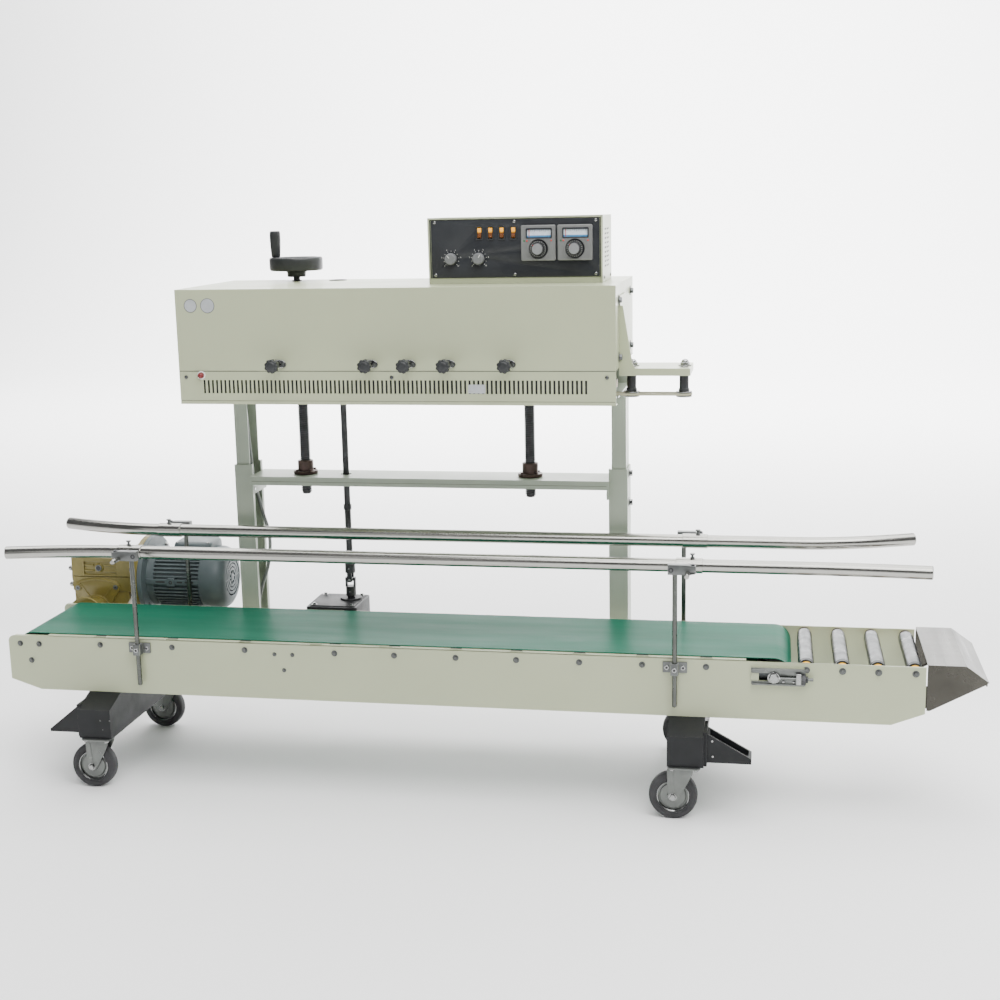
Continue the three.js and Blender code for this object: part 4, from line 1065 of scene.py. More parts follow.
# ------------------------------------------------------------------ gear motor
def gearbox():
    y0, y1 = 336, 412
    case = Piece("gear_case", "frame", "gold_enamel")
    outline = [(-8, 350), (-8, 312)]
    for i in range(15):
        a = math.radians(192 + 156 * i / 14)
        outline.append((DRIVE_X + 58 * math.cos(a), ROLLER_Z + 58 * math.sin(a)))
    outline += [(132, 320), (135, 328), (135, 350)]
    case.plate("y", outline, [], y0 + 4, y1 - 4, 3)
    case.plate("y", rounded(-9, 150, 343, 428, 3, 3), [], y0 + 4, y1 - 4, 1.5)
    for face, out in ((y0, 1), (y1, -1)):
        low, high = span(face, out, 0, 6)
        case.box(-9, 23, low, high, 382, 427.6)
        case.box(107, 150, low, high, 382, 427.6)
        case.box(23, 107, low, high, 418, 427.6)
        case.box(23, 107, low, high, 382, 386)
        low, high = span(face, out, 1.4, 6)
        case.box(-9, 150, low, high, 345, 380)
        for x0, x1 in ((23, 48), (74, 107)):
            case.box(x0, x1, low, high, 392, 397)
            case.box(x0, x1, low, high, 406, 411)
        case.lathe([(0, face + out * 6), (12, face + out * 6), (12, face + out * 2.4),
                    (10.5, face + out * 1.4), (0, face + out * 1.4)], "y", (61, 0, 402), 32)
    case.lathe([(0, 270.4), (45, 270.4), (45, 276), (33, 277), (30, 282), (30, y0 + 6),
                (0, y0 + 6)],
               "y", (DRIVE_X, 0, ROLLER_Z), 48)
    case.lathe([(0, -12), (34, -12), (36, -10), (36, -4), (0, -4)], "x", (0, MOTOR_Y, MOTOR_Z), 48)
    case.lathe([(50, 148), (56, 149), (60, 153), (62, 158), (62, 168), (70, 172), (70, 176),
                (0, 176), (0, 148), (50, 148)], "x", (0, MOTOR_Y, MOTOR_Z), 56)
    case.done(1.0, replaces=["worm_gearbox"])
    cover = Piece("gear_side_cover", "frame", "gold_enamel")
    fan = [(-6, 352), (-4.6, 360), (1, 366), (10, 370), (25, 374.4), (41, 376.8), (58, 377.4),
           (75, 376.4), (91, 373.6), (105, 369.6), (112, 364), (114.4, 356), (112, 348),
           (100, 334), (93, 320), (90, 301), (14, 301), (9, 320), (1, 335), (-4.4, 344)]
    for face, out in ((y0, -1), (y1, 1)):
        low, high = span(face, out, -4, 2)
        cover.plate("y", fan, [], low, high, 1.2)
        for first, last in (((10, 364), (36, 330)), ((100, 365), (70, 330))):
            ends = [(u, face + out * 2.2, v) for u, v in (first, last)]
            cover.sweep(ends, 1.0, flat=(1.3, 1.1))
        arc = [(x, face + out * 2.2, z - 4.6) for x, z in fan[3:10]]
        cover.sweep(arc, 1.0, flat=(1.1, 1.0))
        cover.lathe([(26, face - out * 4), (35, face - out * 4), (35, face + out * 2.6),
                     (33, face + out * 4), (28, face + out * 4), (26, face + out * 2.6),
                     (26, face - out * 4)], "y", (DRIVE_X, 0, ROLLER_Z), 56)
        for x, z in ((5, 352), (103, 356)):
            a, b = span(face, out, 1.4, 3.2)
            cover.ring("y", 9.2, 4, a, b, x, z, 28)
    cover.done(0.5)
    flange = Piece("gear_flange", "frame", "gold_enamel")
    flange.ring("x", 98, 60, 172, 184, MOTOR_Y, MOTOR_Z, 72)
    for y, z in around(8, 22.5, 84, MOTOR_Y, MOTOR_Z):
        flange.rod("x", 8, 166, 173, y, z, 0.8, 20)
    flange.done(0.6)
    bits = Piece("gear_bolts", "frame", "bright_steel")
    for y, z in around(8, 22.5, 84, MOTOR_Y, MOTOR_Z):
        bits.hexagon("x", 10, 166, 160.5, y, z)
    for y, z in ((347, 398), (347, 358), (401, 398), (401, 358)):
        bits.rod("x", 6.4, -18.6, -11, y, z, 1.2, 24)
        bits.hexagon("x", 8, -18.6, -21, y, z)
    bits.ring("y", 25, 11, y0 - 3.4, y0 + 3, DRIVE_X, ROLLER_Z, 40)
    bits.done(0.3)
    plugs = Piece("gear_plugs", "frame", "black_oxide", "zinc_plate")
    for face, out in ((y0, -1), (y1, 1)):
        low, high = span(face, out, -2, -0.2)
        plugs.rod("y", 6.4, low, high, 61, 402, 0.5, 24)
        low, high = span(face, out, -2, 0.8)
        plugs.ring("y", 8, 5.6, low, high, 61, 402, 28, "zinc_plate")
        for x, z in ((5, 352), (103, 356)):
            low, high = span(face, out, 1, 4.6)
            plugs.ring("y", 6, 2.6, low, high, x, z, 24, "zinc_plate")
            low, high = span(face, out, 1, 3)
            plugs.rod("y", 2.8, low, high, x, z, 0.2, 16)
    plugs.done(0.3)


def motor_vanes(piece, count, half, outline):
    """Flat blades about the motor's axis; the outline gives X and radius."""
    for i in range(count):
        a = 2 * math.pi * i / count
        c, s = math.cos(a), math.sin(a)
        thick = Vector((0, -s, c)) * half
        ring = [Vector((x, MOTOR_Y + r * c, MOTOR_Z + r * s)) for x, r in outline]
        piece.grid([[q - thick for q in ring], [q + thick for q in ring]])


def motor():
    shell = Piece("motor_frame", "frame", "blue_grey_enamel")
    shell.lathe([(0, 184.4), (97, 184.4), (98, 185.4), (98, 195), (97, 196), (72.6, 197),
                 (71.6, 199), (71.6, 213), (70, 215), (65, 216), (65, 328), (71, 330), (71, 333),
                 (0, 333)], "x", (0, MOTOR_Y, MOTOR_Z), 72)
    for i in range(46):
        a = 2 * math.pi * (i + 0.5) / 46
        c, s = math.cos(a), math.sin(a)
        if s > 0.86:
            continue
        along = Vector((0, c, s))
        thick = Vector((0, -s, c)) * 2.1
        ring = []
        for x, r in ((214, 63), (214, 70), (216, 72.6), (328, 72.6), (331, 70), (331, 63)):
            ring.append(Vector((x, MOTOR_Y, MOTOR_Z)) + along * r)
        shell.grid([[q - thick for q in ring], [q + thick * 0.75 for q in ring]])
    for low, high in ((MOTOR_Y - 64, MOTOR_Y - 46), (MOTOR_Y + 46, MOTOR_Y + 64)):
        shell.box(222, 316, low, high, 312, 320)
    for sign in (-1, 1):
        low, high = span(MOTOR_Y, sign, 60, 75)
        shell.box(186, 331, low, high, 376, 388)
        low, high = span(MOTOR_Y, sign, 60, 77.5)
        shell.box(252, 270, low, high, 372, 391)
    shell.done(0.7, replaces=["motor_housing"])
    # painted shade: flat dark patches stand for the shaded insides of the slots and holes in the
    # motor's feet
    slots = Piece("motor_pad_slot_shadows", "frame", "painted_shade_black")
    for sign in (-1, 1):
        low, high = span(MOTOR_Y, sign, 74.9, 75.3)
        for x0, x1 in ((222, 246), (276, 290), (296, 318)):
            slots.plate("y", obround((x0 + x1) / 2, 382, x1 - x0, 2), [], low, high, 0.1)
        low, high = span(MOTOR_Y, sign, 77.3, 78)
        slots.ring("y", 4.4, 2, low, high, 261, 381.5, 24)
    slots.done()
    cover = Piece("motor_fan_cover", "frame", "blue_grey_enamel")
    cover.lathe([(72, 329), (75.4, 329), (76, 330), (76, 360), (75.2, 367), (72.6, 374),
                 (68, 380), (61, 384.6), (53, 387), (45, 388), (45, 386), (52.6, 385.2),
                 (60, 382.8), (66.6, 378.4), (70.8, 373), (73, 366), (73.6, 360), (72, 329)],
                "x", (0, MOTOR_Y, MOTOR_Z), 80)
    for radius in (37, 28, 19):
        cover.ring("x", radius + 4.2, radius - 2.2, 385.2, 387.4, MOTOR_Y, MOTOR_Z, 48)
    cover.rod("x", 10, 384.6, 387.8, MOTOR_Y, MOTOR_Z, 0.8, 32)
    motor_vanes(cover, 8, 1.4, ((385.2, 8), (387.2, 8), (387.2, 46), (385.2, 46)))
    cover.done(0.3, smooth=50)
    fan = Piece("motor_fan", "frame", "black_plastic")
    fan.lathe([(0, 372), (12, 372), (14, 360), (60, 356), (60, 352), (0, 352)],
              "x", (0, MOTOR_Y, MOTOR_Z), 40)
    motor_vanes(fan, 7, 1, ((356, 16), (374, 16), (374, 58), (356, 58)))
    fan.done(0.3)
    box = Piece("motor_terminal_box", "frame", "blue_grey_enamel")
    box.plate("z", rounded(262, 348, MOTOR_Y - 39, MOTOR_Y + 39, 8), [], 436, 450, 2)
    profile = [(MOTOR_Y - 42, 449), (MOTOR_Y - 42, 456)]
    for sign, start in ((-1, 180), (1, 90)):
        for i in range(9):
            a = math.radians(start - 90 * i / 8)
            profile.append((MOTOR_Y + sign * 27 + 15 * math.cos(a), 456 + 15 * math.sin(a)))
    profile += [(MOTOR_Y + 42, 449)]
    rings = []
    for x, share in ((258, 0.80), (259.4, 0.90), (263, 0.97), (269, 1.0), (341, 1.0), (347, 0.97),
                     (350.6, 0.90), (352, 0.80)):
        rings.append([(x, MOTOR_Y + (y - MOTOR_Y) * share, 449 + (z - 449) * share)
                      for y, z in profile])
    box.grid(rings)
    box.done(0.5, smooth=50)
    bits = Piece("motor_screws", "frame", "bright_steel")
    for x in (267, 343):
        for y in (MOTOR_Y - 32, MOTOR_Y + 32):
            bits.ring("z", 3.6, 1.4, 468.4, 471.2, x, y, 20)
    for y, z in around(4, 45, 86, MOTOR_Y, MOTOR_Z):
        bits.bolt("x", 9, 196, 1, y, z)
    bits.done(0.3)


# ------------------------------------------------------------------ head
def head_details():
    screws = Piece("seam_screws", "head", "screw_steel")
    for x in (443, 890, 1334.6):
        screws.dome_screw("y", 4, 34.6, -1, x, 903)
    for x in (470, 700, 1080, 1310):
        screws.dome_screw("y", 3.6, 386, 1, x, 880)
    for y, z in ((89, 1054), (332, 1058), (93, 938), (332, 940)):
        screws.bolt("x", 11, COVER_XS[1], 1, y, z, turn=y)
        screws.bolt("x", 11, COVER_XS[0], -1, y, z, turn=y)
    screws.done(0.3)
    lamp = Piece("pilot_collar", "head", "white_print")
    lamp.ring("y", 9, 6.2, 32.8, 36, 477, 907, 36)
    lamp.done(0.4)
    tip = Piece("pilot_lamp", "head", "red_plastic")
    tip.lathe([(0, 22.6), (3, 23), (5, 24.6), (6, 28), (6.1, 34), (6.1, 48), (0, 48)],
              "y", (477, 0, 907), 32)
    tip.done()
    # painted shade: thin dark strips stand for the shadow lines at the cover's seam, its right end
    # and the vent strip's hem
    rim = Piece("cover_seam_shadows", "head", "seam_shade")
    rim.box(428.6, 1351.8, 34.3, 34.8, 914.9, 916.5)
    rim.box(1352.5, 1353, 36, 389, 914.9, 916.5)
    rim.box(429.5, 1351, 34.3, 34.8, 853, 853.8)
    rim.done()
    # painted shade: a dark sheet behind the vent slots stands for the shade inside the head
    baffle = Piece("vent_shadow_sheet", "head", "painted_shade_black")
    baffle.box(476, 1302, 40.4, 41.6, 864, 903)
    baffle.done(0.3)
    discs = Piece("blank_discs", "head", "pale_label", "disc_rim")
    for x, radius in ((461.5, 14.2), (499, 15.6)):
        discs.rod("y", radius, 34.0, 34.7, x, 1052.5, 0.2, 56, "disc_rim")
        discs.rod("y", radius - 1.5, 33.8, 34.2, x, 1052.5, 0.1, 56)
    discs.done()
    ring = Piece("cover_grommets", "head", "black_plastic")
    for x, y, outer, inner in ((LIFT_XS["left"], LIFT_Y, 11.5, 8.2), (SHAFT_X, LIFT_Y, 20, 15.4),
                              (1130, 226, 18, 13)):
        ring.ring("z", outer, inner, 1083.4, 1087.6, x, y, 40)
    ring.done(0.4)
    slots = Piece("rear_louvres", "head", "cream_paint")
    for row in range(2):
        for i in range(14):
            x = 560 + 26 * i
            z = 985 + 38 * row
            ring0 = [(x, 390.2, z), (x, 390.2, z + 20), (x, 393.4, z + 2), (x, 393.4, z)]
            slots.grid([ring0, [(p[0] + 18, p[1], p[2]) for p in ring0]])
    slots.done(0.3)
    hinge = Piece("cover_hinges", "head", "zinc_plate")
    for x in (560, 1180):
        hinge.plate("y", rounded(x - 26, x + 26, 900, 932, 2), [], 390.4, 392.2, 0.4)
        hinge.rod("x", 4, x - 26, x + 26, 393.6, 914, 0.6, 20)
    hinge.done(0.2)
    tag = Piece("generic_tag", "head", "pale_label")
    tag.plate("y", rounded(1050, 1086, 870.5, 888.5, 3), [], 33.9, 34.5, 0.15)
    tag.done()


def star(radius, lobes, depth, steps=12):
    points = []
    for i in range(lobes * steps):
        a = 2 * math.pi * i / (lobes * steps)
        wave = 0.5 + 0.5 * math.cos(a * lobes)
        r = radius - depth * (1 - wave) ** 1.6
        points.append((r * math.cos(a), r * math.sin(a)))
    return points


def pressure_knobs():
    for number, x in enumerate(KNOB_XS, 1):
        body = f"pressure_knob_{number}"
        knob = Piece(f"star_knob_{number}", body, "black_plastic")
        outline = star(14.8, 9, 1.9)
        rings = []
        for y, share in ((-6.4, 0.86), (-7, 0.95), (-8.4, 1.0), (-15.6, 1.0), (-17.4, 0.97),
                         (-18.6, 0.90), (-19, 0.74)):
            rings.append([(x + u * share, y, KNOB_Z + v * share) for u, v in outline])
        knob.grid(rings)
        knob.lathe([(0, -21), (4, -20.9), (7.4, -20.6), (9.2, -19.8), (9.8, -18.4), (9.8, -17),
                    (0, -17)], "y", (x, 0, KNOB_Z), 40)
        knob.lathe([(0, -7), (10.2, -7), (11, -6), (11, -2), (9.6, 0), (7.8, 1.6), (7.6, 15),
                    (0, 15)], "y", (x, 0, KNOB_Z), 36)
        knob.done(smooth=44, replaces=[body])
        stem = Piece(f"knob_spindle_{number}", body, "bright_steel")
        stem.rod("y", 4.4, 14, 60, x, KNOB_Z, 0.6, 24)
        stem.done()
        bracket = Piece(f"knob_bracket_{number}", "head", "bright_steel")
        edge = [(x - 7, 923), (x + 8, 923), (x + 15, 925.4), (x + 17, 929.4), (x + 15.6, 934),
                (x + 8, 939.4), (x - 7, 940.4)]
        bracket.plate("y", edge, [circle(x, KNOB_Z, 5.2)], 30.4, 32.6, 0.5)
        bracket.box(x - 9, x - 6.6, 31, 58, 927, 937.6)
        bracket.done(0.3)
        bolt = Piece(f"knob_bracket_bolt_{number}", "head", "screw_steel")
        bolt.bolt("y", 6, 30.3, -1, x + 11, 929.6, turn=x)
        bolt.rod("y", 2.4, 22, 29, x + 11, 929.6, 0.3, 16)
        bolt.done(0.2)


def handwheel():
    x = LIFT_XS["left"]
    wheel = Piece("handwheel_rim", "handwheel", "black_plastic")
    profile = [(7.9, 1095), (19.6, 1095), (21, 1096.4), (21, 1103.4), (22.5, 1106.6), (31, 1109.2),
               (56.4, 1109.4), (59.2, 1111.6), (60, 1115), (60, 1134), (59.2, 1137), (57.4, 1138.8),
               (52, 1139), (48.4, 1138.4), (46, 1135.6), (44.6, 1127), (42, 1120.6), (36, 1118),
               (22, 1118), (19.6, 1120), (19, 1123), (19, 1125.6), (17.8, 1127), (7.9, 1127),
               (7.9, 1095)]
    wheel.lathe(profile, "z", (x, LIFT_Y, 0), 96)
    wheel.lathe([(4.4, 1110), (9.6, 1110), (10, 1111), (10, POT_Z), (9, 1139), (4.4, 1139),
                 (4.4, 1110)], "z", (x - 47, LIFT_Y, 0), 36)
    wheel.done(replaces=["handwheel"], smooth=36)
    cap = Piece("handwheel_nut", "handwheel", "bright_steel")
    cap.hexagon("z", 12, 1114, 1122, x, LIFT_Y)
    cap.ring("z", 10.5, 6, 1126.9, 1128.2, x, LIFT_Y, 32)
    cap.done(0.4)
    grip = Piece("grip_handle", "crank_grip", "black_plastic")
    grip.lathe([(0, 1139.4), (8.8, 1139.4), (9.8, 1140.6), (10.6, 1148), (11.6, 1162),
                (12.1, 1174), (12.2, 1186), (11.9, 1193), (10.9, 1196.8), (9.2, 1198), (0, 1198)],
               "z", (x - 47, LIFT_Y, 0), 48)
    grip.rod("z", 4, 1117, 1140, x - 47, LIFT_Y, 0.4, 20)
    grip.done(replaces=["crank_grip"], smooth=40)


def infeed():
    for name, x in SPINDLE_XS.items():
        body = f"infeed_pulley_{name}"
        spindle = Piece(f"spindle_{name}", body, "black_plastic", "bright_steel")
        spindle.lathe([(0, 866), (10.5, 866), (11, 867), (11, 871), (9.5, 872.4), (9.5, 906),
                       (11, 907), (11, 911), (0, 911)], "z", (x, 118, 0), 40)
        spindle.lathe([(0, 854.6), (15.8, 854.6), (16.5, 855.4), (16.5, 857), (14, 858),
                       (14, 862.6), (16.5, 863.6), (16.5, 865.4), (15.8, 866.1), (0, 866.1)],
                      "z", (x, 118, 0), 44, "bright_steel")
        spindle.rod("z", 5.3, 910, 916, x, 118, 0.4, 24, "bright_steel")
        spindle.done(0.2, replaces=[body])
        top = Piece(f"spindle_bolt_{name}", "head", "bright_steel")
        top.ring("z", 13.5, 5.8, 915.1, 917.2, x, 148, 36)
        top.hexagon("z", 17, 917.2, 922.4, x, 148, None, 0.2)
        top.lathe([(0, 921.8), (7.6, 921.8), (7.4, 924.2), (6, 926.6), (3.4, 928.2), (0, 928.8)],
                  "z", (x, 148, 0), 28)
        top.ring("z", 9, 5.2, 915.1, 916.4, x, 118, 28)
        top.done(0.4)
    belt = Piece("guide_loop_front", "head", "guide_belt")
    run = []
    for centre, start in ((SPINDLE_XS["outer"], -90), (1290, 90)):
        for i in range(17):
            a = math.radians(start + 180 * i / 16)
            run.append((centre, math.cos(a), math.sin(a)))
    rings = []
    for centre, c, s in run:
        rings.append([(centre + r * c, 118 + r * s, z) for r, z in
                      ((14.1, 858.2), (16.4, 858.2), (16.8, 858.8), (16.8, 861.8), (16.4, 862.4),
                       (14.1, 862.4))])
    belt.grid(rings, closed_path=True, caps=False)
    belt.done(smooth=50)
    idler = Piece("guide_idler", "head", "bright_steel")
    idler.lathe([(0, 855), (16.5, 855), (16.5, 857), (14, 858), (14, 862.6), (16.5, 863.6),
                 (16.5, 866), (6, 866), (6, 916), (0, 916)], "z", (1290, 118, 0), 40)
    idler.done(0.2)


# ------------------------------------------------------------------ inside the head
def sealing_train():
    plane = 135
    for side, wheel_y, out in (("front", 100, -1), ("rear", 171, 1)):
        band = Piece(f"seal_band_{side}", "head", "ptfe_band")
        rings = []
        for centre, start in ((BAND_XS[1], -90), (BAND_XS[0], 90)):
            for i in range(21):
                a = math.radians(start + 180 * i / 20)
                rings.append([(centre + r * math.cos(a), wheel_y + r * math.sin(a), z)
                              for r, z in ((35.0, 868), (35.25, 868), (35.25, 883), (35.0, 883))])
        band.grid(rings, closed_path=True, caps=False)
        band.done(smooth=50)
        wheels = Piece(f"band_wheels_{side}", "head", "silver_plastic", "bright_steel")
        for x in BAND_XS:
            wheels.lathe([(6, 866), (20, 866), (24, 869), (34.9, 867), (34.9, 884), (24, 882),
                          (20, 885), (6, 885), (6, 866)], "z", (x, wheel_y, 0), 48)
            wheels.rod("z", 6, 856, 930, x, wheel_y, 0.6, 24, "bright_steel")
        wheels.done(0.3)
        for name, x0, x1, look in (("heater", 600, 700, "brass_block"),
                                   ("heater_second", 724, 824, "brass_block"),
                                   ("cooler", 960, 1090, "silver_plastic")):
            block = Piece(f"{name}_{side}", "head", look)
            low, high = span(plane, out, 2, 17)
            block.box(x0, x1, low, high, 864, 887)
            if name == "cooler":
                for i in range(14):
                    x = x0 + 3 + i * 9.2
                    a, b = span(plane, out, 17, 40)
                    block.box(x, x + 3.4, a, b, 860, 892)
            block.done(1.0)
        rolls = Piece(f"press_rolls_{side}", "head", "bright_steel", "tyre_rubber")
        for x in (890, 1150):
            rolls.rod("z", 17, 864, 887, x, plane + out * 18, 1.2, 40, "tyre_rubber")
            rolls.rod("z", 5, 858, 930, x, plane + out * 18, 0.6, 24)
        rolls.done(0.3)
        carrier = Piece(f"block_carrier_{side}", "head", "zinc_plate")
        low, high = span(plane, out, 19, 25)
        carrier.plate("y", rounded(560, 1200, 893, 921, 4), [], low, high, 0.8)
        for x in (650, 774, 1025):
            carrier.box(x - 8, x + 8, low, high, 884, 896)
        carrier.done(0.4)
        for number, x in enumerate(KNOB_XS, 1):
            if side == "front":
                spring = Piece(f"pressure_spring_{number}", "head", "bright_steel")
                turns = 7
                path = []
                for i in range(turns * 16 + 1):
                    a = 2 * math.pi * i / 16
                    path.append((x + 7 * math.cos(a), 60 + 46 * i / (turns * 16),
                                 KNOB_Z + 7 * math.sin(a)))
                spring.sweep(path, 0.9, 8)
                spring.done(smooth=70)
    chain = Piece("drive_sprockets", "head", "black_oxide")
    for x, y, radius in ((SHAFT_X, LIFT_Y, 34), (BAND_XS[0], 171, 30), (BAND_XS[1], 171, 30),
                         (1150, 250, 26)):
        outline = []
        teeth = int(radius * 0.62)
        for i in range(teeth * 4):
            a = 2 * math.pi * i / (teeth * 4)
            r = radius if i % 4 in (0, 1) else radius - 4
            outline.append((x + r * math.cos(a), y + r * math.sin(a)))
        inner = 8 if x == SHAFT_X else 6.2
        chain.plate("z", outline, [circle(x, y, inner + 0.6)], 955, 959.5, 0.3)
        chain.ring("z", 15, inner, 950, 966, x, y, 32)
    chain.done()
    wires = Piece("head_wires", "head", "copper_wire")
    for i, (x, y) in enumerate(((650, 150), (774, 150), (650, 122), (774, 122))):
        path = []
        for k in range(25):
            t = k / 24
            path.append((x + (980 - x) * t ** 2, y + (230 - y) * t,
                         888 + 150 * math.sin(math.pi * 0.5 * t) + 6 * math.sin(9 * t + i)))
        wires.sweep(path, 1.6, 10)
    wires.done(smooth=70)
    mount = Piece("bridge_studs", "head", "zinc_plate")
    for x in (478, 890, 1302):
        for z in (985, 880):
            mount.bolt("y", 10, 62, -1, x, z)
        for y in (90, 180):
            mount.bolt("z", 10, 1000, 1, x, y)
    mount.done(0.3)


# ------------------------------------------------------------------ control box
def control_panel():
    panel = Piece("control_plate", "head", "panel_black")
    holes = [obround_upright(x, 1190, 25.2, 4.6) for x in ROCKER_XS]
    holes += [circle(x, POT_Z, 4.5) for x in POT_XS] + [circle(x, DIAL_Z, 5.5) for x in DIAL_XS]
    panel.plate("y", rounded(956.7, 1308.8, 1100, 1216.6, 1.5), holes, PANEL_Y - 0.1,
                PANEL_Y - 1.7, 0.3)
    panel.done()
    screws = Piece("control_screws", "head", "bright_steel")
    for x in (964.5, 1132.5, 1301):
        for z in (1104.6, 1212.4):
            screws.dome_screw("y", 3.4, PANEL_Y - 1.7, -1, x, z)
    screws.done()
    lip = Piece("control_lip", "head", "cream_paint")
    for x0, x1, z0, z1 in ((950.2, 1314.8, 1218.4, 1221.4), (950.2, 953.4, 1086.6, 1221.4),
                           (1311.6, 1314.8, 1086.6, 1221.4)):
        lip.box(x0, x1, PANEL_Y - 3.2, PANEL_Y + 0.2, z0, z1)
    lip.done(0.8)
    marks = Piece("pot_marks", "head", "white_print")
    face = PANEL_Y - 1.72
    for x in POT_XS:
        for i in range(11):
            a = math.radians(225 - 27 * i)
            c, s = math.cos(a), math.sin(a)
            side = Vector((-s, 0, c)) * 0.4
            inner, outer = 15.2, 17.4 if i % 5 == 0 else 16.8
            corners = []
            for r, k in ((inner, -1), (outer, -1), (outer, 1), (inner, 1)):
                corners.append(Vector((x + r * c, face, POT_Z + r * s)) + side * k)
            marks.grid([corners, [p + Vector((0, -0.12, 0)) for p in corners]])
    marks.done()
    scale_numbers("pot_numbers", POT_XS, POT_Z, face, 20.4, 225, 270, 3.6)
    # painted shade: thin dark strips stand for the shadow gap round the control panel
    gap = Piece("control_gap_shadow", "head", "painted_shade_black")
    for x0, x1, z0, z1 in ((953.6, 1311.4, 1216.8, 1218.2), (953.6, 955.6, 1100, 1217),
                           (1309.6, 1311.4, 1100, 1217), (953.6, 1311.4, 1098.4, 1099.8)):
        gap.box(x0, x1, PANEL_Y - 1.2, PANEL_Y - 0.2, z0, z1)
    gap.done()
    # painted shade: flat dark shapes stand for the shaded vent openings in the box's sides
    slots = Piece("box_side_vent_shadows", "head", "painted_shade_black")
    for side, x, out in (("right", 1315, 1), ("left", 950, -1)):
        for column in range(2):
            for row in range(9):
                y = 196 + 44 * column
                z = 1118 + 9.4 * row
                low, high = span(x, out, 0.05, 0.25)
                ring = [(low, y - 14, z - 2.2), (low, y + 14, z - 1), (low, y + 14, z + 2.6),
                        (low, y - 14, z + 1.4)]
                slots.grid([ring, [(high, q[1], q[2]) for q in ring]])
    slots.done()
    side_screws = Piece("box_side_screws", "head", "bright_steel")
    for y in (168, 284):
        side_screws.dome_screw("x", 3.6, 1315, 1, y, 1096)
        side_screws.dome_screw("x", 3.6, 950, -1, y, 1096)
    side_screws.done()
    gland = Piece("box_rear_gland", "head", "black_plastic")
    gland.lathe([(0, 307.7), (12, 307.7), (12, 312), (8, 313), (8, 322), (6, 324), (0, 324)],
                "y", (990, 0, 1112), 28)
    gland.done(0.4)


def obround_upright(u, v, length, radius, steps=8):
    return [(u + b - v, v + a - u) for a, b in obround(u, v, length, radius, steps)]


def scale_numbers(name, centres, z, face, radius, start, sweep, size):
    """Plain numbers about each dial."""
    labels = ["0", "2", "4", "6", "8", "10"]
    for index, x in enumerate(centres, 1):
        group = Piece(f"{name}_{index}", "head", "white_print")
        for i, label in enumerate(labels):
            a = math.radians(start - sweep * i / (len(labels) - 1))
            curve = bpy.data.curves.new("number", "FONT")
            curve.body = label
            curve.size = size
            curve.extrude = 0.05
            curve.align_x = "CENTER"
            curve.align_y = "CENTER"
            curve.resolution_u = 3
            holder = bpy.data.objects.new("number", curve)
            bpy.context.scene.collection.objects.link(holder)
            bpy.context.view_layer.update()
            mesh = bpy.data.meshes.new_from_object(
                holder.evaluated_get(bpy.context.evaluated_depsgraph_get()))
            u, v = x + radius * math.cos(a), z + radius * math.sin(a)
            verts = [group.bm.verts.new((u + p.co.x, face - 0.06 - p.co.z, v + p.co.y))
                     for p in mesh.vertices]
            for polygon in mesh.polygons:
                try:
                    group.bm.faces.new([verts[k] for k in polygon.vertices])
                except ValueError:
                    continue
            bpy.data.objects.remove(holder)
            bpy.data.curves.remove(curve)
            bpy.data.meshes.remove(mesh)
        group.done()


def rockers():
    for number, x in enumerate(ROCKER_XS, 1):
        body = f"rocker_switch_{number}"
        frame_piece = Piece(f"rocker_frame_{number}", "head", "black_plastic")
        frame_piece.plate("y", rounded(x - 7.6, x + 7.6, 1190 - 14.8, 1190 + 14.8, 1.5),
                          [rounded(x - 4.7, x + 4.7, 1190 - 12.2, 1190 + 12.2, 0.6)],
                          PANEL_Y - 1.7, PANEL_Y - 3.3, 0.4)
        frame_piece.done()
        lens = Piece(f"rocker_lens_{number}", body, "amber_lens")
        outline = [(143.2, 1179), (141.8, 1180.2), (139.6, 1181.6), (140.4, 1186), (142.1, 1190),
                   (141.6, 1194), (140.7, 1199.4), (142, 1200.4), (148.4, 1199.4), (150.4, 1190),
                   (148.4, 1180.6)]
        lens.prism("x", outline, x - 3.95, x + 3.95)
        lens.done(0.5, replaces=[body])


def knobs_and_dials():
    for number, x in enumerate(POT_XS, 1):
        body = f"speed_knob_{number}"
        knob = Piece(f"pot_knob_{number}", body, "disc_rim", "white_print")
        outline = []
        for i in range(96):
            a = 2 * math.pi * i / 96
            r = 12.6 if i % 4 in (0, 1) else 12.0
            outline.append((r * math.cos(a), r * math.sin(a)))
        rings = []
        for y, share in ((142.4, 1.0), (134, 0.985), (130.4, 0.96), (129, 0.9)):
            rings.append([(x + u * share, y, POT_Z + v * share) for u, v in outline])
        knob.grid(rings)
        knob.lathe([(0, 128.1), (9.6, 128.1), (10.4, 129.2), (0, 129.4)], "y", (x, 0, POT_Z), 40)
        a = math.radians(130 if number == 1 else 60)
        c, s = math.cos(a), math.sin(a)
        side = Vector((-s, 0, c)) * 0.7
        ring = [Vector((x + r * c, 128.05, POT_Z + r * s)) + side * k
                for r, k in ((3, -1), (10, -1), (10, 1), (3, 1))]
        knob.grid([ring, [p + Vector((0, -0.25, 0)) for p in ring]], look="white_print")
        knob.rod("y", 3.9, 142, 160, x, POT_Z, 0.3, 20)
        knob.done(0.2, replaces=[body], smooth=44)
    for number, x in enumerate(DIAL_XS, 1):
        thermostat(number, x)


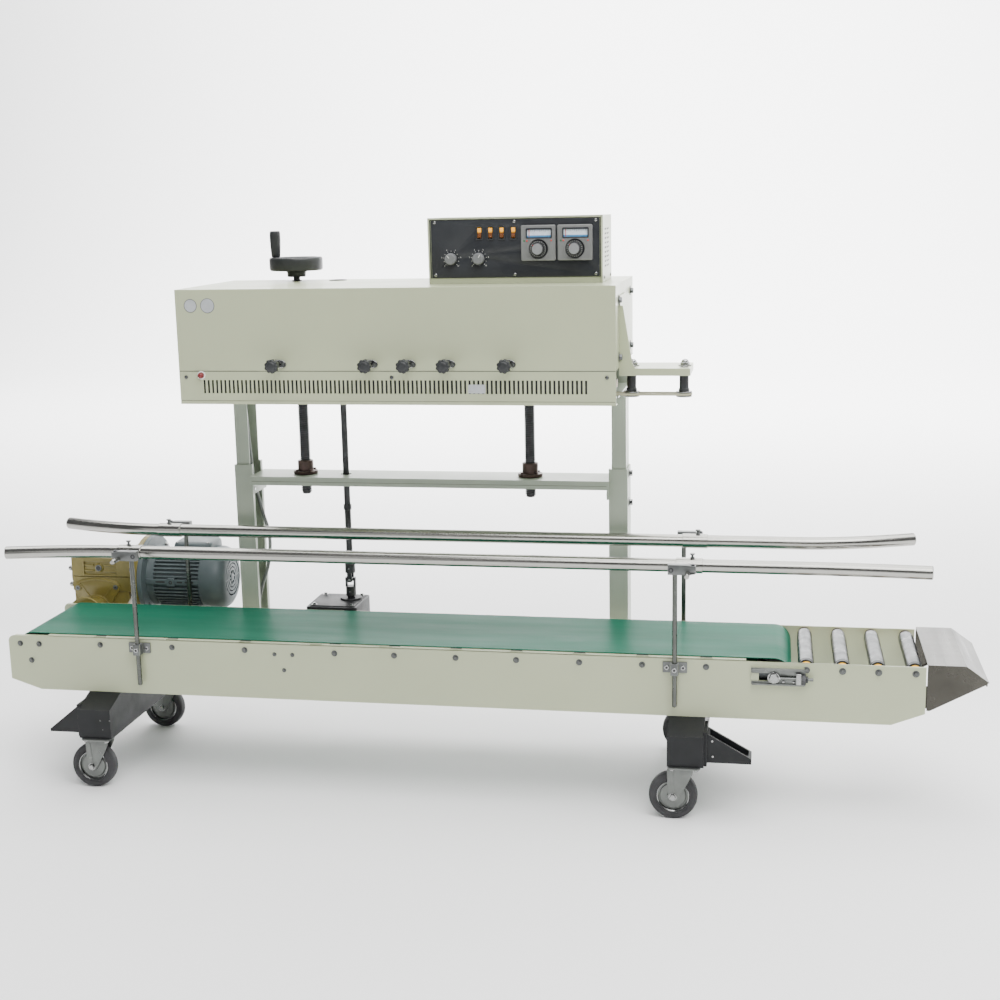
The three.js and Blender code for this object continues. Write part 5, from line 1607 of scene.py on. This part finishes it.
def thermostat(number, x):
    body = f"thermostat_dial_{number}"
    z0, z1 = 1132, 1204.6
    face = PANEL_Y - 1.7
    bezel = Piece(f"thermostat_bezel_{number}", "head", "bezel_silver")
    window = rounded(x - 24, x + 27, 1179, 1197, 1.5)
    bezel.plate("y", rounded(x - 36, x + 36, z0, z1, 3.5),
                [window, circle(x, DIAL_Z, 19.4, 48)], face, face - 7.4, 1.6)
    bezel.done()
    inside = Piece(f"thermostat_well_{number}", "head", "panel_black")
    inside.box(x - 33, x + 33, face - 2.4, face, z0 + 3, z1 - 3)
    inside.done(0.2)
    glass = Piece(f"thermostat_scale_{number}", "head", "window_white", "window_blue", "lamp_red",
                  "panel_black")
    glass.box(x - 23.4, x + 26.4, face - 4.2, face - 2.5, 1179.6, 1196.4)
    glass.box(x - 23.4, x + 26.4, face - 4.5, face - 4.15, 1179.6, 1183.4, "window_blue")
    glass.box(x - 23.4, x + 26.4, face - 4.5, face - 4.15, 1194.8, 1196.4, "panel_black")
    for i in range(13):
        tick = x - 20 + 3.8 * i
        tall = 4.2 if i % 3 == 0 else 2.6
        glass.box(tick, tick + 0.6, face - 4.45, face - 4.15, 1194.6 - tall, 1194.6, "panel_black")
    glass.box(x - 19.6, x - 18.4, face - 5.2, face - 4.4, 1180.4, 1195.4, "lamp_red")
    glass.done(0.1)
    frame_piece = Piece(f"thermostat_frame_{number}", "head", "panel_black")
    frame_piece.plate("y", rounded(x - 25.6, x + 28.6, 1177.4, 1198.6, 2),
                      [rounded(x - 23.2, x + 26.2, 1179.8, 1196.2, 1)], face - 7.2, face - 8.2, 0.3)
    frame_piece.done()
    lamps = Piece(f"thermostat_lamps_{number}", "head", "lamp_green", "lamp_red")
    lamps.lathe([(0, face - 8.6), (1.4, face - 8.2), (1.9, face - 7.3), (1.9, face - 6),
                 (0, face - 6)], "y", (x - 29, 0, 1172.6), 16, "lamp_green")
    lamps.lathe([(0, face - 8.6), (1.4, face - 8.2), (1.9, face - 7.3), (1.9, face - 6),
                 (0, face - 6)], "y", (x - 23.5, 0, 1172.6), 16, "lamp_red")
    lamps.lathe([(0, face - 8.6), (1.2, face - 8.2), (1.6, face - 7.3), (1.6, face - 6),
                 (0, face - 6)], "y", (x + 27, 0, 1172.6), 16, "lamp_red")
    lamps.done()
    dial = Piece(f"thermostat_ring_{number}", body, "black_plastic", "silver_plastic", "lamp_red",
                 "white_print")
    dial.lathe([(5, 130.6), (16.8, 130.6), (17.2, 131.2), (17.2, 133.4), (16.4, 134), (5, 134),
                (5, 130.6)], "y", (x, 0, DIAL_Z), 56)
    for i in range(24):
        a = math.radians(15 * i)
        c, s = math.cos(a), math.sin(a)
        side = Vector((-s, 0, c)) * 0.35
        ring = [Vector((x + r * c, 130.55, DIAL_Z + r * s)) + side * k
                for r, k in ((14.6, -1), (16.4, -1), (16.4, 1), (14.6, 1))]
        dial.grid([ring, [p + Vector((0, -0.1, 0)) for p in ring]], look="white_print")
    outline = star(13.3, 18, 0.9, 6)
    rings = []
    for y, share in ((131, 1.0), (121.4, 0.98), (119.4, 0.94), (118.7, 0.86)):
        rings.append([(x + u * share, y, DIAL_Z + v * share) for u, v in outline])
    dial.grid(rings)
    dial.lathe([(0, 118.4), (10.4, 118.4), (11.2, 119.2), (0, 119.4)], "y", (x, 0, DIAL_Z), 44,
               "silver_plastic")
    a = math.radians(138)
    c, s = math.cos(a), math.sin(a)
    side = Vector((-s, 0, c)) * 0.9
    ring = [Vector((x + r * c, 118.55, DIAL_Z + r * s)) + side * k
            for r, k in ((4, -1), (11.6, -1), (11.6, 1), (4, 1))]
    dial.grid([ring, [p + Vector((0, -0.05, 0)) for p in ring]], look="lamp_red")
    dial.rod("y", 4.9, 133, 164, x, DIAL_Z, 0.3, 24)
    dial.done(0.15, replaces=[body], smooth=44)


# ------------------------------------------------------------------ stage, camera and light
def stage():
    mesh = bpy.data.meshes.new("floor")
    bm = bmesh.new()
    rows = []
    for y, z in [(-14, 0), (7, 0)]:
        rows.append([bm.verts.new((x, y, z)) for x in (-16, 16)])
    for i in range(1, 13):
        a = math.radians(90 * i / 12)
        rows.append([bm.verts.new((x, 7 + 4 * math.sin(a), 4 - 4 * math.cos(a)))
                     for x in (-16, 16)])
    rows.append([bm.verts.new((x, 11, 14)) for x in (-16, 16)])
    for first, second in zip(rows, rows[1:]):
        bm.faces.new((first[0], first[1], second[1], second[0]))
    bm.to_mesh(mesh)
    bm.free()
    finish_mesh(mesh, 60)
    floor = bpy.data.objects.new("studio_floor", mesh)
    bpy.context.scene.collection.objects.link(floor)
    look = Look("studio_paper", (0.93, 0.93, 0.93), 0.9)
    look.vary(0.6, 0.004).grain(600, 0.00005)
    mesh.materials.append(look.material)


def area_light(name, place, target, size, power, color=(1, 1, 1)):
    lamp = bpy.data.lights.new(name, "AREA")
    lamp.shape = "RECTANGLE"
    lamp.size, lamp.size_y = size
    lamp.energy = power
    lamp.color = color
    holder = bpy.data.objects.new(name, lamp)
    holder.location = place
    direction = Vector(target) - Vector(place)
    holder.rotation_euler = direction.to_track_quat("-Z", "Y").to_euler()
    bpy.context.scene.collection.objects.link(holder)


def lights():
    world = bpy.data.worlds.new("studio")
    world.use_nodes = True
    world.node_tree.nodes["Background"].inputs["Color"].default_value = (0.95, 0.97, 1.0, 1)
    world.node_tree.nodes["Background"].inputs["Strength"].default_value = 0.18
    bpy.context.scene.world = world
    area_light("top", (0.3, 0.7, 4.4), (0, 0.2, 0.5), (8.0, 5.0), 640)
    area_light("key", (1.4, -3.0, 4.3), (0.2, 0, 0.8), (4.4, 2.4), 215)
    area_light("side", (4.8, 0.2, 2.4), (0.5, 0, 0.6), (2.4, 2.4), 80)
    area_light("fill", (-2.6, -4.8, 1.8), (0, 0, 0.6), (2.6, 2.0), 18)
    area_light("backdrop", (0, 4.6, 5.4), (0, 10.4, 1.6), (9.0, 2.0), 3400)


def camera():
    data = bpy.data.cameras.new("view")
    data.sensor_width = 36
    data.lens = 53.017
    data.clip_start = 0.05
    data.clip_end = 60
    holder = bpy.data.objects.new("view", data)
    right = Vector((0.98333, 0.18066, -0.02041))
    up = Vector((-0.01629, 0.19934, 0.97979))
    back = -Vector((-0.18107, 0.96313, -0.19896))
    turn = Matrix((right, up, back)).transposed()
    holder.matrix_world = Matrix.Translation((0.6228, -3.0983, 1.2542)) @ turn.to_4x4()
    bpy.context.scene.collection.objects.link(holder)
    bpy.context.scene.camera = holder


for make in (
        camera, stage, lights, dress_frame, conveyor_belt, plate_fasteners, end_bearings,
        take_up, gravity_rollers, chute_trim, foot_details, casters, guide_rails, rail_posts,
        lift, drive_shaft, bevel_box, stand_bolts, wiring_conduit, gearbox, motor, head_details,
        pressure_knobs, handwheel, infeed, sealing_train, control_panel, rockers,
        knobs_and_dials):
    make()
